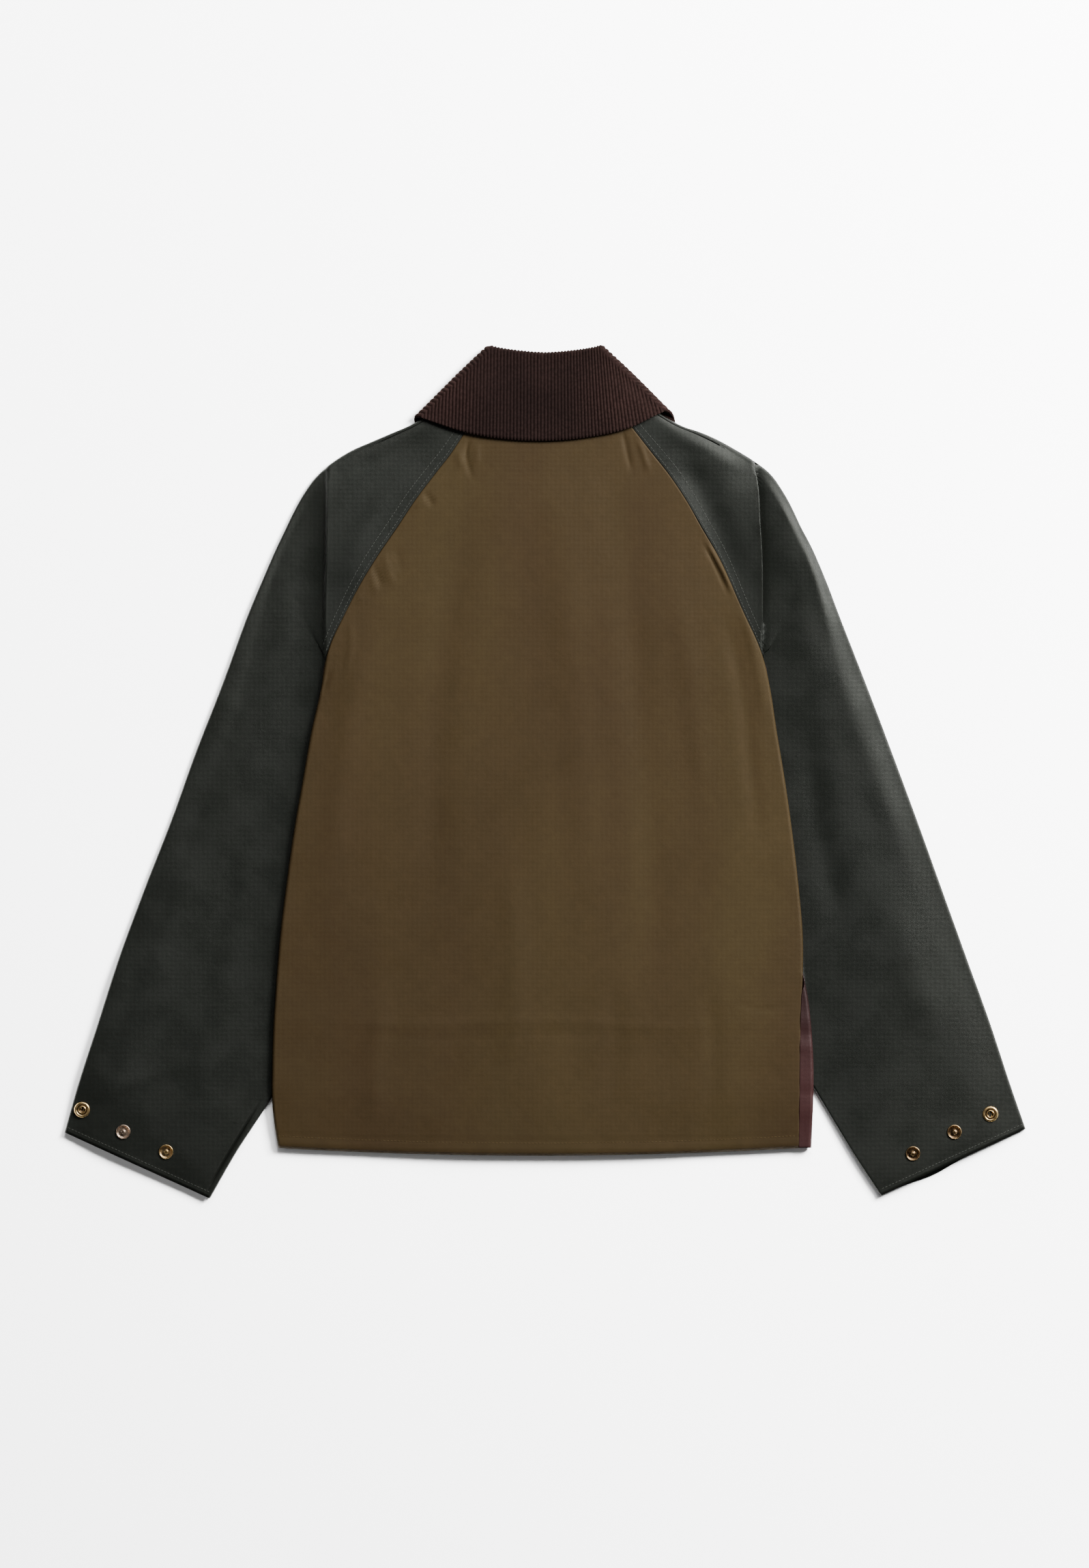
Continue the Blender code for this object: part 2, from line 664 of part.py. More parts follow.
def leaf_level(x, y):
    """The leaf's inner face over the back: it clears the body's cloth below, the stand above."""
    _, outward, foot, _ = fold_frame()
    inside = (foot[0] - abs(x)) * outward[0] + (foot[1] - y) * outward[1]
    free = mix(LEAF_EDGE_LEVEL, LEAF_FOLD_LEVEL, along_ramp(y, LEAF_SETTLING))
    return mix(LEAF_FOLD_LEVEL, free, share(inside / LEAF_FOLD_REACH))


def make_leaf(collection, material):
    """The leaf: ribbed over the back, folded round both shoulders, and plain under the fronts."""
    along, outward, foot, head = fold_frame()
    left_end, right_end = LEAF_EDGE[0].x, LEAF_EDGE[-1].x
    columns = 2 * round((right_end - left_end) / WALE_PITCH)
    bm = bmesh.new()
    wales = bm.verts.layers.deform.verify()
    groove = 1 - WALE_DEPTH / LEAF_WALL

    def vertex(x, y, z, crest):
        vert = bm.verts.new((x * MM, y * MM, z * MM))
        vert[wales][0] = crest
        return vert

    def quads(first, second):
        for k in range(len(first) - 1):
            bm.faces.new((first[k], second[k], second[k + 1], first[k + 1]))

    faces, tops = [], []
    for i in range(columns + 1):
        base_x = mix(left_end, right_end, i / columns)
        base_y = leaf_edge(base_x)
        full_lean = LEFT_WALE_LEAN if base_x < 0 else -RIGHT_WALE_LEAN
        top_x, top_y = wale_top(base_x, math.tan(full_lean * (base_x / right_end) ** 2))
        crest = 1.0 if i % 2 else groove
        column = []
        for v in range(LEAF_ROWS + 1):
            x, y = mix(base_x, top_x, v / LEAF_ROWS), mix(base_y, top_y, v / LEAF_ROWS)
            column.append(vertex(x, y, leaf_level(x, y), crest))
        faces.append(column)
        tops.append((top_x, top_y, column[-1]))
    for left, right in zip(faces, faces[1:]):
        quads(right, left)

    flap_foot = [foot[i] + FLAP_STAGGER * along[i] for i in range(2)]
    for own_side in (-1, 1):
        at_fold = [top for top in tops if top[0] * own_side > head[0] - 1e-6]
        at_fold.sort(key=lambda top: top[1])
        lines = []
        for n, (x, y, edge) in enumerate(at_fold):
            w = n / (len(at_fold) - 1)
            turned_x = mix(flap_foot[0], head[0], w) * own_side
            turned_y = mix(flap_foot[1], head[1], w)
            crest = edge[wales][0]
            line = [edge]
            for k in range(1, FOLD_STEPS + 1):
                t = k / FOLD_STEPS
                out = FOLD_RADIUS * math.sin(math.pi * t)
                line.append(vertex(
                    mix(x, turned_x, t) + own_side * outward[0] * out,
                    mix(y, turned_y, t) + outward[1] * out,
                    LEAF_WALL + FOLD_RADIUS * (1 + math.cos(math.pi * t)),
                    mix(crest, 1.0, share(t)),
                ))
            for k in range(1, FLAP_STATIONS + 1):
                p = k / FLAP_STATIONS
                low = [mix(flap_foot[i], COLLAR_POINT[i], p) for i in range(2)]
                high = [mix(head[i], ROLL_END[i], p) for i in range(2)]
                x_inside, y_inside = (mix(low[i], high[i], w) for i in range(2))
                line.append(vertex(own_side * x_inside, y_inside, LEAF_WALL, 1.0))
            lines.append(line)
        for lower, upper in zip(lines, lines[1:]):
            quads(*((lower, upper) if own_side > 0 else (upper, lower)))

    bmesh.ops.recalc_face_normals(bm, faces=bm.faces)
    middle = max(bm.faces, key=lambda face: face.calc_center_median().z)
    if middle.normal.z < 0:
        bmesh.ops.reverse_faces(bm, faces=bm.faces)
    obj = add_object("collar_leaf", bm, collection, material)
    obj.vertex_groups.new(name="wales")
    solidify = obj.modifiers.new("wall", "SOLIDIFY")
    solidify.thickness = LEAF_WALL * MM
    solidify.offset = 1
    solidify.vertex_group = "wales"
    return obj


def stand_columns():
    """(foot, head, level) for each column of the stand, from its left front end to its right one."""
    _, _, _, head = fold_frame()
    fold_foot = (NECK_HALF_WIDTH - STAND_SIDE_INSET, LEFT_SHOULDER[0][1] + NECK_GAP)
    fold_head = (head[0] - STAND_HEAD_INSET, head[1] - STAND_HEAD_INSET)
    radius = (STAND_BACK_LEVEL - STAND_FRONT_LEVEL) / 2
    half = []
    for k in range(STAND_STATIONS, 0, -1):
        p = k / STAND_STATIONS
        foot = neck_ellipse(mix(STAND_START, STAND_END, p), NECKLINE_GAP)
        top = [mix(fold_head[i], ROLL_END[i], p) for i in range(2)]
        half.append((foot, top, STAND_FRONT_LEVEL))
    for k in range(FOLD_STEPS + 1):
        turn = math.pi * k / FOLD_STEPS
        out = radius * math.sin(turn)
        level = STAND_FRONT_LEVEL + radius * (1 - math.cos(turn))
        half.append(((fold_foot[0] + out, fold_foot[1]), (fold_head[0] + out, fold_head[1]), level))
    for k in range(1, STAND_STATIONS):
        x = fold_foot[0] * (1 - k / STAND_STATIONS)
        half.append(((x, None), (x * fold_head[0] / fold_foot[0], None), STAND_BACK_LEVEL))
    middle = [((0.0, None), (0.0, None), STAND_BACK_LEVEL)]
    mirrored = [((-foot[0], foot[1]), (-top[0], top[1]), level) for foot, top, level in half]
    return mirrored + middle + half[::-1]


def make_stand(collection, material):
    """The stand: a band from the neck seam to the roll, inside the leaf, round to both fronts."""
    _, _, _, head = fold_frame()
    rows = [[] for _ in range(STAND_ROWS + 1)]
    for foot, top, level in stand_columns():
        foot_y = neck_edge(foot[0]) + NECK_GAP if foot[1] is None else foot[1]
        top_y = roll_height(top[0], head[0]) - STAND_TOP_DROP if top[1] is None else top[1]
        for v, row in enumerate(rows):
            t = v / STAND_ROWS
            row.append((mix(foot[0], top[0], t), mix(foot_y, top_y, t), level))
    return cloth_panel("collar_stand", rows, STAND_WALL, collection, material)


# ---------------------------------------------------------------- snaps


def turned(name, profile, collection, material):
    """A round piece, flat underneath, turned about Z by a Screw modifier. A profile that starts on
    the centre line is closed along the bottom, and one that starts away from it has a hole."""
    bm = bmesh.new()
    points = list(profile)
    if profile[0][0] == 0:
        points.append((0.0, 0.0))
    verts = [bm.verts.new((radius * MM, 0, height * MM)) for radius, height in points]
    pairs = list(zip(verts, verts[1:]))
    if profile[0][0] > 0:
        pairs.append((verts[-1], verts[0]))
    for pair in pairs:
        bm.edges.new(pair)
    obj = add_object(name, bm, collection, material, smooth=False)
    screw = obj.modifiers.new("turn", "SCREW")
    screw.axis = "Z"
    screw.steps = TURN_STEPS
    screw.render_steps = TURN_STEPS
    screw.use_merge_vertices = True
    screw.merge_threshold = 0.00001
    screw.use_smooth_shade = True
    return obj


def make_cuff_snaps(collection, brass):
    for snap in CUFF_SNAPS:
        radius = (STUD_PROFILE if snap.stud else SOCKET_PROFILE)[-1][0]
        rows = LEFT_SLEEVE if snap.x < 0 else RIGHT_SLEEVE
        crease = LEFT_CREASE if snap.x < 0 else RIGHT_CREASE
        outer_x = interpolate([(row.outer_y, row.outer_x) for row in rows], snap.y)
        from_outer = max(0.0, outer_x - abs(snap.x)) * CUFF_SLANT
        level = max(
            sleeve_back_level(snap.x, snap.y, from_outer + offset, crease)
            for offset in (-radius, 0, radius)
        )
        obj = turned(snap.name, STUD_PROFILE if snap.stud else SOCKET_PROFILE, collection, brass)
        top = level + SLEEVE_WALL / 2 + 2 * CLEAR
        obj.location = (snap.x * MM, snap.y * MM, top * MM)


def make_front_snaps(collection, brass):
    for k in range(FRONT_SNAPS):
        obj = turned(f"front_snap_{k + 1}", CAP_PROFILE, collection, brass)
        obj.location = (0, (FIRST_SNAP_Y - SNAP_STEP * k) * MM, 0)


def main():
    for obj in list(bpy.data.objects):
        bpy.data.objects.remove(obj, do_unlink=True)
    collection = bpy.data.collections.new("waxed_cotton_jacket")
    bpy.context.scene.collection.children.link(collection)
    olive = make_material("olive_waxed_cotton", OLIVE, 0.6)
    burgundy = make_material("burgundy_waxed_cotton", BURGUNDY, 0.5)
    dark_green = make_material("dark_green_waxed_cotton", DARK_GREEN, 0.55)
    corduroy = make_material("brown_corduroy", CORDUROY, 0.9)
    brass = make_material("aged_brass", BRASS, 0.35, metallic=1.0)

    make_back(collection, olive)
    make_fronts(collection, burgundy)
    make_sleeve("left", -1, LEFT_SHOULDER, LEFT_SLEEVE, LEFT_CREASE, collection, dark_green)
    make_sleeve("right", 1, RIGHT_SHOULDER, RIGHT_SLEEVE, RIGHT_CREASE, collection, dark_green)
    make_leaf(collection, corduroy)
    make_stand(collection, corduroy)
    make_cuff_snaps(collection, brass)
    make_front_snaps(collection, brass)


main()
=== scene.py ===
"""The looks of a waxed cotton jacket that lies flat on its front: cloth shells with creases,
corduroy, sewing, brass snaps, and a pale floor under soft light. Sizes are in millimetres, and
x, y and z are the frame's axes: +Z is up out of the jacket's back and +Y points to its collar."""

import math
from collections import namedtuple

import bmesh
import bpy
import numpy as np
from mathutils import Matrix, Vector
from mathutils.bvhtree import BVHTree


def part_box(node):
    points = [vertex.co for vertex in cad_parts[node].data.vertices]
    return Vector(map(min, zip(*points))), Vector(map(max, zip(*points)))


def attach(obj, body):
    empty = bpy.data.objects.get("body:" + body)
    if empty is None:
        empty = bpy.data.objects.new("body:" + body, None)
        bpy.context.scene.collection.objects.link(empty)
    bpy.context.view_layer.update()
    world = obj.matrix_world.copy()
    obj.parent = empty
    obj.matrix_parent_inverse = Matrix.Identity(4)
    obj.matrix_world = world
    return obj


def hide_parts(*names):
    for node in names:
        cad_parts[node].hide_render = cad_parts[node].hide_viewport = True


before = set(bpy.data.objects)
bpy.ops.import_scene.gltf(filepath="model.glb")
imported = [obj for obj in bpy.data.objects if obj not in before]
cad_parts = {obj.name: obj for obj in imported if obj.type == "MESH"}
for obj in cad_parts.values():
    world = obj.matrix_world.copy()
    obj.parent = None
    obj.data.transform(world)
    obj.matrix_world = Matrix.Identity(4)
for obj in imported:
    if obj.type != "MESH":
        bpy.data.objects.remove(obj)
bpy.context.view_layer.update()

MM = 0.001
BODY = "root"

# Cloth walls, and where a grid's columns lie near its edges, which roll over.
CLOTH_WALL = 1.1
HALF_WALL = CLOTH_WALL / 2
STAND_WALL = 1.6
EDGE_PLACES = HALF_WALL + np.array([0.0, 0.15, 0.4, 0.8, 1.3, 2.0, 3.0, 4.5])
SEAM_GAP = 0.15
# How many points a smooth curve gets before values are read off it.
LINE_POINTS = 200

# The ribs of the corduroy. Between wales the leaf's wall is thinner, by WALE_HEIGHT / LEAF_WALL of it.
LEAF_WALL = 2.3
WALE_HEIGHT = 0.85
WALE_PITCH = 3.2
POINTS_PER_WALE = 6

# The outlines: each row of a panel runs from a first edge to a second one.
Row = namedtuple("Row", "x1 y1 x2 y2 bow")
BACK_ROWS = [
    Row(-51.2, 353.3, 54.4, 356.5, -9.3),
    Row(-63.4, 335.7, 67.5, 340.2, -6),
    Row(-75.5, 317.4, 80.6, 323.2, -3),
    Row(-88.3, 297.9, 98.6, 299.9, -1),
    Row(-102.5, 279.7, 114.6, 279.7, 0),
    Row(-120.5, 256, 130.6, 256, 0),
    Row(-138.5, 229.1, 146.2, 229.1, 0),
    Row(-156.5, 202.9, 161.3, 202.9, 0),
    Row(-174.1, 174.1, 174.7, 174.1, 0),
    Row(-188.8, 145.3, 187.2, 145.3, 0),
    Row(-200.5, 120, 198.8, 120, 0),
    Row(-204.8, 106, 203.9, 106, 0),
    Row(-209.3, 79.4, 209.9, 79.4, 0),
    Row(-218.9, 36.5, 216.6, 36.5, 0),
    Row(-226, -3.8, 223.4, -3.8, 0),
    Row(-235, -55.7, 230.8, -55.7, 0),
    Row(-242.3, -107.5, 236.8, -107.5, 0),
    Row(-248, -155.5, 240.8, -155.5, 0),
    Row(-250.6, -186, 240.8, -186, 0),
    Row(-252.6, -214, 239.6, -214, -0.4),
    Row(-254, -235.5, 238.7, -235.5, -1),
    Row(-255.2, -275, 238.2, -275, -2),
    Row(-255.4, -305, 238, -305, -3),
    Row(-253.2, -330, 237.7, -330, -5),
    Row(-249.6, -352.3, 237.4, -352.3, -7.1),
]
ARMPIT_ROW = 11
ARMPIT_Y = 106.0
SIDE_SEAM_END_Y = -186.0

LEFT_OUTER = [
    (69.8, 357.1), (98.6, 341.1), (126.5, 325.1), (144, 317.7), (161, 310.5), (181.5, 301.6),
    (201, 289.3), (215, 276.5), (226.6, 260.5), (235.5, 244.5), (243.2, 228.5), (250.9, 212.5),
]
RIGHT_OUTER = [
    (69.8, 357.1), (98.6, 341.1), (126.5, 325.1), (146, 318.4), (161, 312), (178, 302.8),
    (195.8, 291.8), (211.2, 279.7), (224.6, 260.5), (233, 244.5), (240.5, 228.5), (249, 212.5),
]
# Below the armpit: the outer fold and the inner fold of each sleeve.
Fold = namedtuple("Fold", "outer_x outer_y inner_x inner_y")
LEFT_ARM = [
    Fold(265, 180.5, 188.2, 84.5),
    Fold(278.4, 148.5, 172.2, 49.3),
    Fold(302, 84.5, 162.6, 14),
    Fold(327, 20.5, 162, -54.4),
    Fold(350, -43.5, 174, -123.5),
    Fold(375, -107.5, 199.7, -187.5),
    Fold(398.7, -171.5, 225.3, -250.9),
    Fold(419.2, -235.5, 258.6, -309.1),
    Fold(437.8, -293.1, 291.2, -359.7),
    Fold(450.6, -337.9, 314.2, -400),
]
RIGHT_ARM = [
    Fold(263, 180.5, 188.2, 84.5),
    Fold(275.2, 148.5, 172.2, 49.3),
    Fold(300.2, 84.5, 162.6, 14),
    Fold(324.5, 20.5, 162, -54.4),
    Fold(348.2, -43.5, 174, -123.5),
    Fold(371.2, -107.5, 199.7, -187.5),
    Fold(394.2, -171.5, 225.3, -250.9),
    Fold(417.3, -235.5, 258.6, -308.5),
    Fold(435.8, -291.8, 290.6, -361.6),
    Fold(450.6, -334.7, 314.2, -397.4),
]

# The right edge below the side seam's end, where the right front wraps round onto the back.
WRAP_EDGE = [
    (241.4, -186), (244.2, -200), (246.6, -214), (249, -235.5), (251.4, -275),
    (251.3, -305), (250.6, -330), (249.6, -352.3),
]

# The front neckline is a quarter ellipse on each side, and the front raglan seams leave it here.
NECK_CENTRE_Y = 357.0
NECK_HALF_WIDTH = 69.0
NECK_DROP = 107.0
NECK_SPLIT = math.radians(30.0)
FRONT_ARMPIT_CENTRE_Y = 96.0
LAP = 18.0

# The collar.
COLLAR_SIDE = (127.4, 329.6)
COLLAR_CORNER = (55.5, 399.8)
COLLAR_POINT = (92.0, 232.0)
ROLL_END = (20.0, 292.0)
ROLL_Y = 398.6
ROLL_DIP = 5.6
FLAP_TOP = 2.8
FOLD_TOP = 7.75
EDGE_TOP = 9.1
LEAF_EDGE = [
    (-117, 332.6), (-101.8, 327), (-74.2, 318.1), (-25, 311), (0.6, 310.4),
    (39, 313.6), (80.6, 323.2), (103, 334), (111, 337.8),
]
LEFT_LEAN = math.radians(4.0)
RIGHT_LEAN = math.radians(16.0)
STAND_FRONT_Z = 4.1
STAND_BACK_Z = 6.4

# Main creases. height is up (+) or down (-), width is the distance from the line
# at which it has mostly faded, and points is the line on the cloth.
Crease = namedtuple("Crease", "height width points")
BACK_CREASES = [
    Crease(-1.1, 3, [(-71, 314), (-74, 297), (-71, 284), (-67, 274)]),
    Crease(0.6, 5, [(-82, 303), (-79, 284)]),
    Crease(0.5, 5, [(-64, 308), (-64, 286)]),
    Crease(-0.9, 4, [(73, 322), (76, 304), (81, 280)]),
    Crease(0.7, 4.5, [(86, 314), (92, 298), (97, 280)]),
    Crease(-1.5, 3, [(-113, 264), (-109, 256), (-103, 249)]),
    Crease(0.5, 5, [(-124, 246), (-114, 254), (-106, 262)]),
    Crease(-1.3, 2.4, [(-161, 196), (-157, 184), (-152, 172)]),
    Crease(0.7, 2.6, [(-165, 190), (-161, 178), (-158, 164)]),
    Crease(0.7, 4, [(-152, 208), (-148, 192), (-141, 172)]),
    Crease(-0.4, 6, [(-141, 214), (-134, 186)]),
    Crease(0.6, 2.2, [(-174.5, 168), (-172, 157)]),
    Crease(0.6, 4, [(-183, 148), (-182, 118), (-187, 90)]),
    Crease(-1.2, 2.2, [(147, 216), (156, 200), (164, 184), (172, 165)]),
    Crease(1.4, 3, [(150.5, 217), (160, 200), (168.5, 184), (176, 165)]),
    Crease(0.9, 8, [(180, 158), (190, 134), (197, 108), (203, 76), (206, 40)]),
    Crease(-0.8, 12, [(163, 160), (174, 126), (184, 80), (192, 10), (200, -70)]),
    Crease(0.9, 22, [(-150, 150), (-178, 80), (-192, -20), (-205, -140)]),
    Crease(-0.9, 26, [(-70, 250), (-96, 120), (-104, -40), (-110, -160)]),
    Crease(0.9, 30, [(10, 290), (20, 160), (34, 0), (42, -150)]),
    Crease(-0.9, 26, [(74, 240), (86, 90), (98, -60), (104, -200)]),
    Crease(0.6, 20, [(120, 190), (140, 60), (152, -60)]),
    Crease(0.7, 20, [(-34, -60), (-28, -180), (-30, -300)]),
    Crease(-0.6, 18, [(60, -180), (66, -260), (60, -330)]),
    Crease(0.7, 16, [(-150, -200), (-160, -280), (-158, -340)]),
    Crease(-0.6, 14, [(150, -190), (158, -270), (152, -335)]),
    Crease(-0.9, 4, [(-201, 97), (-209, 72)]),
    Crease(0.28, 7, [(-240, -232), (-120, -237), (0, -233), (120, -239), (225, -236)]),
    Crease(-0.2, 6, [(-200, -246), (-90, -250), (20, -246), (110, -252)]),
    Crease(-0.4, 3, [(176, -214), (200, -222), (232, -219)]),
]
LEFT_SLEEVE_CREASES = [
    Crease(1, 20, [(-244, 225), (-266, 160), (-294, 70), (-328, -30)]),
    Crease(-0.8, 14, [(-100, 320), (-150, 296), (-190, 282)]),
    Crease(0.8, 16, [(-108, 300), (-146, 262), (-176, 216), (-190, 176)]),
    Crease(0.8, 5, [(-86, 322), (-76, 336)]),
    Crease(-2, 2.1, [(-268, -309), (-279, -328.4), (-298.2, -360.4), (-320, -398)]),
    Crease(1.8, 34, [(-330, -60), (-356, -130), (-384, -210)]),
    Crease(3.6, 56, [(-376, -150), (-404, -230), (-424, -300), (-436, -340)]),
    Crease(-0.6, 18, [(-285, -60), (-305, -150), (-325, -235)]),
    Crease(0.4, 12, [(-330, -270), (-372, -286), (-412, -300)]),
]
RIGHT_SLEEVE_CREASES = [
    Crease(0.5, 12, [(104, 324), (146, 305), (174, 293), (188, 286)]),
    Crease(-2.5, 27, [(114, 302), (139, 276), (156, 243), (171, 202), (187, 150)]),
    Crease(1, 5, [(226, 260), (236, 243), (243, 226), (249, 206)]),
    Crease(-0.6, 2.2, [(246, 206), (250, 198), (252, 188)]),
    Crease(-0.6, 2.4, [(258, 176), (262, 168), (264, 158)]),
    Crease(0.8, 14, [(244, 222), (252, 196), (260, 162), (272, 116)]),
    Crease(1.2, 26, [(264, 130), (290, 60), (318, -20), (345, -100)]),
    Crease(-1, 20, [(244, 40), (258, -60), (282, -160)]),
    Crease(1, 30, [(320, -110), (345, -190), (372, -260)]),
    Crease(0.6, 3, [(232, -240), (236, -246)]),
]

# The fold between the shoulder and the sleeve. Towards the line the cloth rises to the crest over
# the inner width. There it turns under, down to the foot, and reaches the far level over the outer width.
Pleat = namedtuple("Pleat", "x y crest inner foot far outer")
LEFT_PLEAT = [
    Pleat(203, 304, 0, 20, 0, 0, 12),
    Pleat(203, 284, 2.2, 14, 1.4, -1, 12),
    Pleat(203, 262, 3.8, 26, 2.2, -1.6, 12),
    Pleat(203.5, 236, 4.4, 28, 2.6, -1.8, 12),
    Pleat(204, 200, 4.4, 26, 2.6, -1.8, 12),
    Pleat(205, 160, 3.8, 20, 2.6, -1.8, 13),
    Pleat(205, 128, 3.2, 14, 2.4, -1.9, 14),
    Pleat(204.5, 98, 2.4, 8, 2.2, -2, 15),
    Pleat(213, 36, 2, 3, 2, -2.2, 16),
    Pleat(229, -55, 1.8, 3, 1.8, -2.3, 17),
    Pleat(242, -155, 1.4, 3, 1.4, -2, 18),
    Pleat(248, -235, 0.4, 3, 0.4, -1.4, 24),
    Pleat(250, -320, 0, 3, 0, 0, 20),
]
RIGHT_PLEAT = [
    Pleat(193, 300, 0, 16, 0, 0, 8),
    Pleat(194.5, 291, 1.8, 16, -0.4, 1.6, 12),
    Pleat(197.5, 277, 2.6, 14, -1.6, 2.6, 12),
    Pleat(199.5, 262, 4.8, 20, -2.2, 4.2, 14),
    Pleat(200.6, 238, 6.6, 24, -2.2, 5.4, 16),
    Pleat(202.8, 200, 6.4, 22, -2.2, 5.4, 16),
    Pleat(203.2, 150, 4, 14, -2, 3.8, 17),
    Pleat(203.5, 92, 0.4, 6, -1.8, 2.4, 20),
    Pleat(210, 36, 0, 3, -1.6, 1.6, 24),
    Pleat(225, -55, 0, 3, -1.4, 1.1, 24),
    Pleat(236, -155, 0, 3, -1.2, 0.7, 24),
    Pleat(244, -235, 0, 3, -0.8, 0.8, 24),
    Pleat(246, -320, 0, 3, 0, 0, 20),
]
PLEAT_TURN = 6.0
# The cloth before the crest: the share of its rise that fades slowly, and the reach of that share.
SLOW_SHARE = 0.4
SLOW_REACH = 55.0
# How high the crest stands over the foot where the pleat turns fully under.
FULL_PLEAT = 4.0
# The far level eases in from the sleeve's outer fold over a width that depends on y.
EASE_Y = (60.0, 180.0)
EASE_WIDTH = (26.0, 11.0)

# The pleat's section where it turns under: how far along it, place across, share of the height.
Turn = namedtuple("Turn", "along across height")
PLEAT_SECTION = [
    Turn(0, 0, 1),
    Turn(0.08, 0.22, 0.97),
    Turn(0.16, 0.3, 0.86),
    Turn(0.3, 0.3, 0.6),
    Turn(0.45, 0.14, 0.3),
    Turn(0.6, 0, 0.1),
    Turn(0.74, 1, 0),
    Turn(0.86, 3.2, 0),
    Turn(1, 6, 0),
]

# The hidden side has similar creases, at other places.
FRONT_CREASES = [
    Crease(1, 14, [(70, 190), (96, 120), (108, 20)]),
    Crease(1.3, 20, [(150, 60), (140, -60), (150, -180)]),
    Crease(0.9, 16, [(70, -40), (84, -160), (80, -290)]),
    Crease(1.1, 10, [(110, 230), (140, 190), (170, 150)]),
    Crease(0.9, 12, [(190, -120), (186, -220), (196, -320)]),
    Crease(0.7, 9, [(110, -230), (120, -290), (112, -340)]),
]
SLEEVE_FRONT_CREASES = [
    Crease(1.2, 12, [(170, 250), (200, 200), (215, 130)]),
    Crease(1, 16, [(250, 140), (275, 60), (300, -20)]),
    Crease(0.9, 12, [(210, 40), (240, -60), (270, -130)]),
    Crease(1.1, 16, [(330, -80), (350, -160), (380, -230)]),
    Crease(0.8, 10, [(280, -200), (310, -270), (330, -330)]),
    Crease(0.7, 8, [(120, 300), (150, 270), (170, 230)]),
]


def mix(a, b, t):
    return a + (b - a) * t


def share(value):
    """value held between 0 and 1 and eased at both ends."""
    held = np.clip(value, 0.0, 1.0)
    return held * held * (3 - 2 * held)


def swell(distance, width):
    """1 where the distance is 0, fading away on both sides of it."""
    return np.exp(-((distance / width) ** 2))


def smooth_curve(points, count):
    """count points spaced evenly along a smooth curve through the given rows of numbers."""
    known = np.array([tuple(p) for p in points], float)
    at_known = distances(known)
    chords = np.diff(at_known)
    slopes = np.gradient(known, at_known, axis=0)
    at = np.linspace(0.0, at_known[-1], count)
    k = np.clip(np.searchsorted(at_known, at, side="right") - 1, 0, len(chords) - 1)
    h = chords[k][:, None]
    t = (at - at_known[k])[:, None] / h
    start = (2 * t**3 - 3 * t**2 + 1) * known[k] + (t**3 - 2 * t**2 + t) * h * slopes[k]
    return start + (3 * t**2 - 2 * t**3) * known[k + 1] + (t**3 - t**2) * h * slopes[k + 1]


def distances(line):
    """Distance of each point from the line's start, along the line."""
    return np.concatenate([[0.0], np.cumsum(np.linalg.norm(np.diff(line, axis=0), axis=1))])


def point_at(line, distance, steps):
    """The point of the line at a distance from its start, where steps are its points' distances."""
    return [np.interp(distance, steps, line[:, k]) for k in range(3)]


# ------------ reading the frame


# Rays are cast from this far above or below the frame's floor, in metres.
CAST_HEIGHT = 0.1


def read_panels():
    """The CAD cloth panels as trees that a ray can be cast at, in the frame's metres."""
    trees = {}
    for name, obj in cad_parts.items():
        if name.startswith(("back", "front_left", "front_right", "sleeve")):
            corners = [obj.matrix_world @ vertex.co for vertex in obj.data.vertices]
            faces = [tuple(face.vertices) for face in obj.data.polygons]
            trees[name] = BVHTree.FromPolygons(corners, faces)
    return trees


PANELS = read_panels()


def surface_of(node, x, y, from_above):
    """Height of the CAD node's upper or lower face over a grid of places, in millimetres."""
    heading = -1 if from_above else 1
    z = np.full(x.shape, np.nan)
    for index in np.ndindex(x.shape):
        start = (x[index] * MM, y[index] * MM, -heading * CAST_HEIGHT)
        hit = PANELS[node].ray_cast(start, (0, 0, heading))[0]
        if hit is not None:
            z[index] = hit.z / MM
    return filled(z)


def filled(z):
    """The grid with each place that has no height given the nearest height in its row."""
    places = np.arange(z.shape[1])
    empty_rows = []
    for i, row in enumerate(z):
        known = ~np.isnan(row)
        if known.sum() > 1:
            z[i] = np.interp(places, places[known], row[known])
        else:
            empty_rows.append(i)
    whole = [i for i in range(len(z)) if i not in empty_rows]
    for i in empty_rows:
        z[i] = z[min(whole, key=lambda other: abs(other - i))]
    return z


def softened(z, passes):
    """The grid with its facets smoothed, and its edges kept in place."""
    for _ in range(passes):
        padded = np.pad(z, 1, mode="reflect", reflect_type="odd")
        across = (padded[1:-1, :-2] + 2 * padded[1:-1, 1:-1] + padded[1:-1, 2:]) / 4
        padded = np.pad(across, 1, mode="reflect", reflect_type="odd")
        z = (padded[:-2, 1:-1] + 2 * padded[1:-1, 1:-1] + padded[2:, 1:-1]) / 4
    return z


# ------------ grids of cloth


# A sleeve's columns crowd towards its pleat: the share of them before it, the shares of a row's
# width between which it may lie, and how strongly they crowd.
CROWD_PLACE = 0.42
CROWD_LIMITS = (0.12, 0.9)
CROWD_POWER = 1.35
SECTION_POINTS = 80
REST_SOFTNESS = 0.4
# A crease's spread as a share of its width, what is left of it at its ends, and the share of its
# length over which it fades towards each end.
CREASE_SPREAD = 0.6
CREASE_END = 0.08
CREASE_FADE = 0.3
WANDER_WAVES = 7


